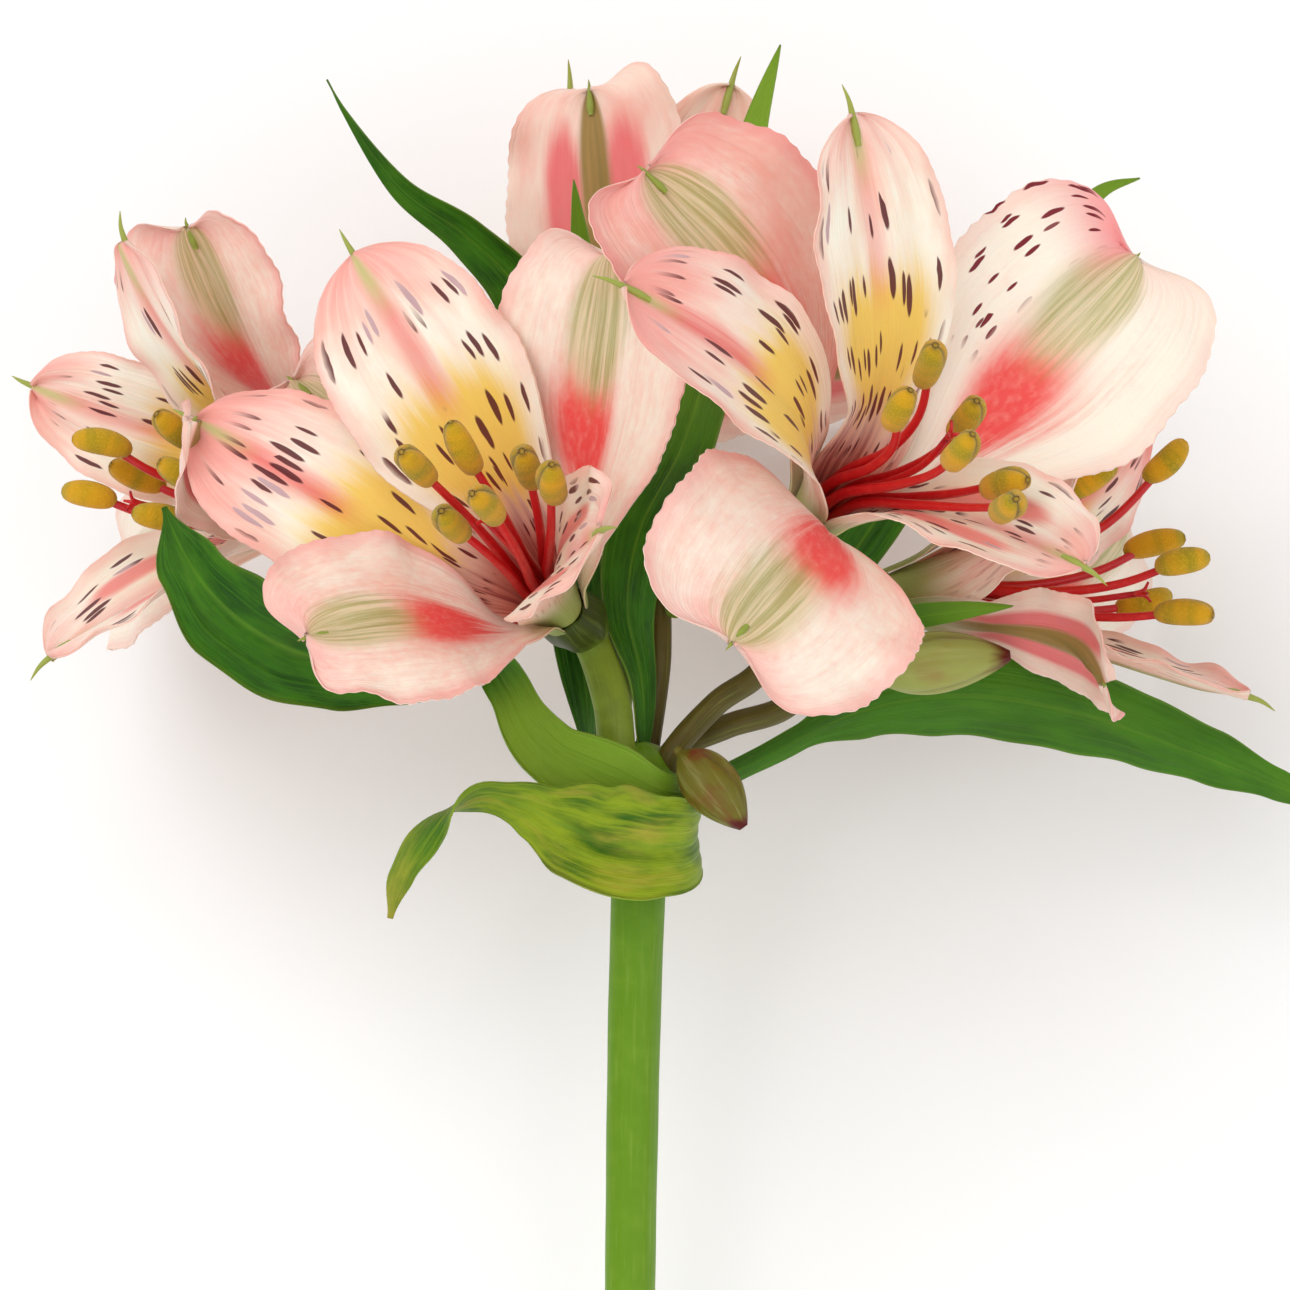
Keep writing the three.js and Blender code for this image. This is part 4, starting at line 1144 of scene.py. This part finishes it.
# Where a leaf's foot goes in under the others at the top of the stem
LEAF_FEET = {
    "left_leaf": (5.2, -4.9, 1.2),
    "curled_leaf": (3.2, -6.6, -4.6),
    "right_leaf": (1.4, -4.4, -2.4),
    "upper_left_leaf": (-2, -4.6, -1),
}


def half_width_at(widths, s):
    """The half width at a share s, from widths at even steps."""
    step = s * (len(widths) - 1)
    before = np.minimum(step.astype(int), len(widths) - 2)
    widths = np.asarray(widths, float)
    return mix(widths[before], widths[before + 1], ease(step - before, 0, 1)) / 2


def leaf(name, points, across, width=0, widths=None, foot=0.3, slim=0.8, fold=0.25):
    rng = seeded(name)
    if name in LEAF_FEET:
        points = [LEAF_FEET[name], *points]
        across = [across[0], *across]
    route = Route(points)
    ways = Route(across)
    count = 24 + int(route.length * 1.3)
    share = np.linspace(0, 0.998, count)
    foot_length = np.linalg.norm(np.subtract(points[1], points[0])) if name in LEAF_FEET else 0
    own = np.clip((share * route.length - foot_length) / (route.length - foot_length), 0, 1)
    along = route.along(share)
    way = ways.by_knot(route.knot(share))
    side = unit(way - along * np.sum(way * along, -1, keepdims=True))
    facing = np.cross(side, along)
    half = half_width_at(widths, own) if widths else leaf_outline(own, foot, slim) * width / 2
    edge = np.linspace(1, -1, 21)
    u = edge[None, :]
    v = share[:, None]
    phase = rng.uniform(0, 2 * math.pi, 6)
    wave = np.abs(u) ** 2 * 0.35 * np.sin(v * route.length * 0.28 + np.where(u > 0, phase[0], phase[1]))
    ribs = 0.06 * np.cos(u * 17 + phase[2]) * ease(half, 0.6, 3)[:, None]
    lift = fold * half[:, None] * np.abs(u) ** 1.5 + wave * ease(half, 0.8, 3)[:, None] + ribs
    ragged = 1 + 0.012 * np.sin(v * 60 + np.where(u > 0, phase[3], phase[4]))
    out = half[:, None] * u * ragged
    middle = route.at(share)[:, None] + side[:, None] * out[..., None] + facing[:, None] * lift[..., None]
    thickness = mix(*LEAF_THICKNESS, u**2) * mix(1, 0.7, v)
    shape = Shape()
    add_sheet(
        shape,
        middle,
        thickness,
        edge=u,
        share=v,
        across=u * half[:, None],
        length=v * route.length,
        seed=rng.uniform(0, 60),
        pale=ease(v, 0.4, 0.3) if name == "left_leaf" else YOUNG.get(name, 0) * ease(v, 0.3, 0.9),
    )
    return shape


def bud(name, points, radius, neck):
    route = Route(points)

    def size(share):
        t = np.maximum(0, (share - neck) / (1 - neck))
        belly = np.sin(math.pi * np.minimum(1, t**0.85 * 0.97)) ** 0.8
        stalk = np.where(share < neck + 0.05, PEDICEL_RADIUS * 0.9 if neck > 0.1 else 0.5, 0.3)
        return (stalk**3 + (radius * belly) ** 3) ** (1 / 3)

    sides, steps = 48, 60
    share = np.linspace(0, 1, steps)[:, None]
    turn = np.linspace(0, 2 * math.pi, sides, endpoint=False)[None, :]
    twist = turn * 1.5 + share * 1.1
    # groove: twisted creases, pressed into the shape and painted darker as shade
    groove = np.exp(-((np.sin(twist) / 0.14) ** 2))
    groove = groove * ease(share, neck + 0.12, neck + 0.35) * ease(1 - share, 0.0, 0.1)
    ribbed = 0.02 * np.cos(9 * turn) * ease(share, neck, neck + 0.2)
    shape = Shape()
    add_tube(
        shape,
        route,
        size,
        sides,
        steps,
        profile=lambda k, w: 1 - 0.09 * groove + ribbed,
        seed=seeded(name).uniform(0, 40),
        groove=groove,
    )
    return shape


# The stem's rounded top between the feet of the rays
DOME_HEIGHT = 2


def main_stem():
    points = [
        (-0.9, -STEM_LENGTH, 0),
        (-1.2, -STEM_LENGTH * 0.6, 0.4),
        (-0.7, -STEM_LENGTH * 0.25, 0.2),
        (0, -RECEPTACLE_LENGTH, 0),
        (0, DOME_HEIGHT, 0),
    ]
    route = Route(points)

    def radius(share):
        left = (1 - share) * route.length
        below = left - DOME_HEIGHT
        swelling = ease(below, 2 * RECEPTACLE_LENGTH, 0.4 * RECEPTACLE_LENGTH)
        dome = np.sqrt(np.clip(1 - (1 - left / (2 * DOME_HEIGHT)) ** 2, 0.02, 1))
        dome = np.where(left < 2 * DOME_HEIGHT, dome, 1)
        return mix(mix(STEM_RADIUS_CUT, STEM_RADIUS_TOP, share), RECEPTACLE_RADIUS, swelling) * dome

    def ridges(share, turn):
        slow = 0.006 * np.sin(share * 60)[:, None]
        return 1 + 0.018 * np.cos(7 * turn + 0.6) + 0.008 * np.sin(13 * turn + 2) + slow

    steps = 220
    shape = Shape()
    left = ((1 - np.linspace(0, 1, steps)) * route.length)[:, None]
    add_tube(shape, route, radius, 40, steps, profile=ridges, seed=3.0, left=left)
    points = shape.points[0]
    share = ease(-points[:, 1], STEM_LENGTH - 1, STEM_LENGTH)
    points[:, 1] += share * CUT_SLANT * points[:, 2] / STEM_RADIUS_CUT
    # The cut face: pale towards its centre point, so that its rim shows the green skin
    cut = np.zeros(len(points))
    cut[-2] = 1.0
    shape.values["cut"] = [cut]
    return shape


# -------- the plant

stem_shape = main_stem()
low, high = (np.asarray(corner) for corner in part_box("main_stem"))
stem_points = place(stem_shape.points[0])
shift = (low + high) / 2 - (stem_points.min(0) + stem_points.max(0)) / 2

finish_piece(stem_shape, "stem", "main_stem", "stalk", [STEM])

for name, shape in LEAVES.items():
    kind = OLIVE_LEAF if name in ("curled_leaf", "ray_bract") else LEAF
    finish_piece(leaf(name, **shape), name + "_blade", name, "leaf", [kind])

for name, shape in BUDS.items():
    kind = PALE_BUD if name == "right_bud" else DARK_BUD
    finish_piece(bud(name, **shape), name + "_closed", name, "bud", [kind])

BROWN_STALKED = ("front_right", "back_top", "back_right")
for name, flower in FLOWERS.items():
    skin = BROWN_STALK if name in BROWN_STALKED else GREEN_STALK
    finish_piece(pedicel(name, flower), name + "_stalk", name + "_pedicel", "stalk", [skin])
    for part in PLACES:
        shape, material = tepal(name, part)
        kind = "outer_tepal" if part.endswith("outer") else "inner_tepal"
        finish_piece(shape, f"{name}_{part}", f"{name}_{part}_tepal", kind, [material])
    spray = stamens(name, flower)
    finish_piece(spray, name + "_stamen_spray", name + "_stamens", "stamen", [FILAMENT, ANTHER])
    finish_piece(pistil(flower), name + "_style", name + "_pistil", "pistil", [FILAMENT])

# -------- table, light and camera


def table(name, size, material):
    half = size / 2
    corners = [(x * half, y * half, 0) for x, y in ((-1, -1), (1, -1), (1, 1), (-1, 1))]
    mesh = bpy.data.meshes.new(name)
    mesh.from_pydata(corners, [], [(0, 1, 2, 3)])
    mesh.materials.append(material)
    thing = bpy.data.objects.new(name, mesh)
    bpy.context.scene.collection.objects.link(thing)
    return thing


table("table_top", TABLE_SIZE, floor_paint())


def in_plant(matrix_place):
    """The world matrix of something set square in the plant's frame, in millimetres."""
    turn = Matrix([list(row) for row in LYING]).to_4x4()
    turn.translation = place(np.array(matrix_place, float)).tolist()
    return turn


def soft_light(name, at, size, watts):
    lamp = bpy.data.lights.new(name, "AREA")
    lamp.shape = "SQUARE"
    lamp.size = size
    lamp.energy = watts
    thing = bpy.data.objects.new(name, lamp)
    thing.location = at
    way = Vector(LIT_PLACE) - Vector(at)
    thing.rotation_euler = way.to_track_quat("-Z", "Y").to_euler()
    bpy.context.scene.collection.objects.link(thing)


soft_light("key", (-0.7, 0.5, 1.3), 1.5, 12)
soft_light("fill", (0.9, -0.2, 1.0), 1.2, 4)
soft_light("front", (0.0, -0.9, 0.9), 1.2, 3)

bpy.context.scene.view_settings.view_transform = "Standard"
world = bpy.data.worlds.new("studio")
world.use_nodes = True
world.node_tree.nodes["Background"].inputs["Color"].default_value = (1, 1, 1, 1)
world.node_tree.nodes["Background"].inputs["Strength"].default_value = 0.6
bpy.context.scene.world = world

lens = bpy.data.cameras.new("camera")
lens.type = "PERSP"
lens.sensor_width = SENSOR_WIDTH
lens.lens = SENSOR_WIDTH * CAMERA_DISTANCE / VIEW_WIDTH
lens.clip_start = 0.05
lens.clip_end = 20
camera = bpy.data.objects.new("camera", lens)
bpy.context.scene.collection.objects.link(camera)
camera.matrix_world = in_plant((*VIEW_CENTRE, CAMERA_DISTANCE))
bpy.context.scene.camera = camera
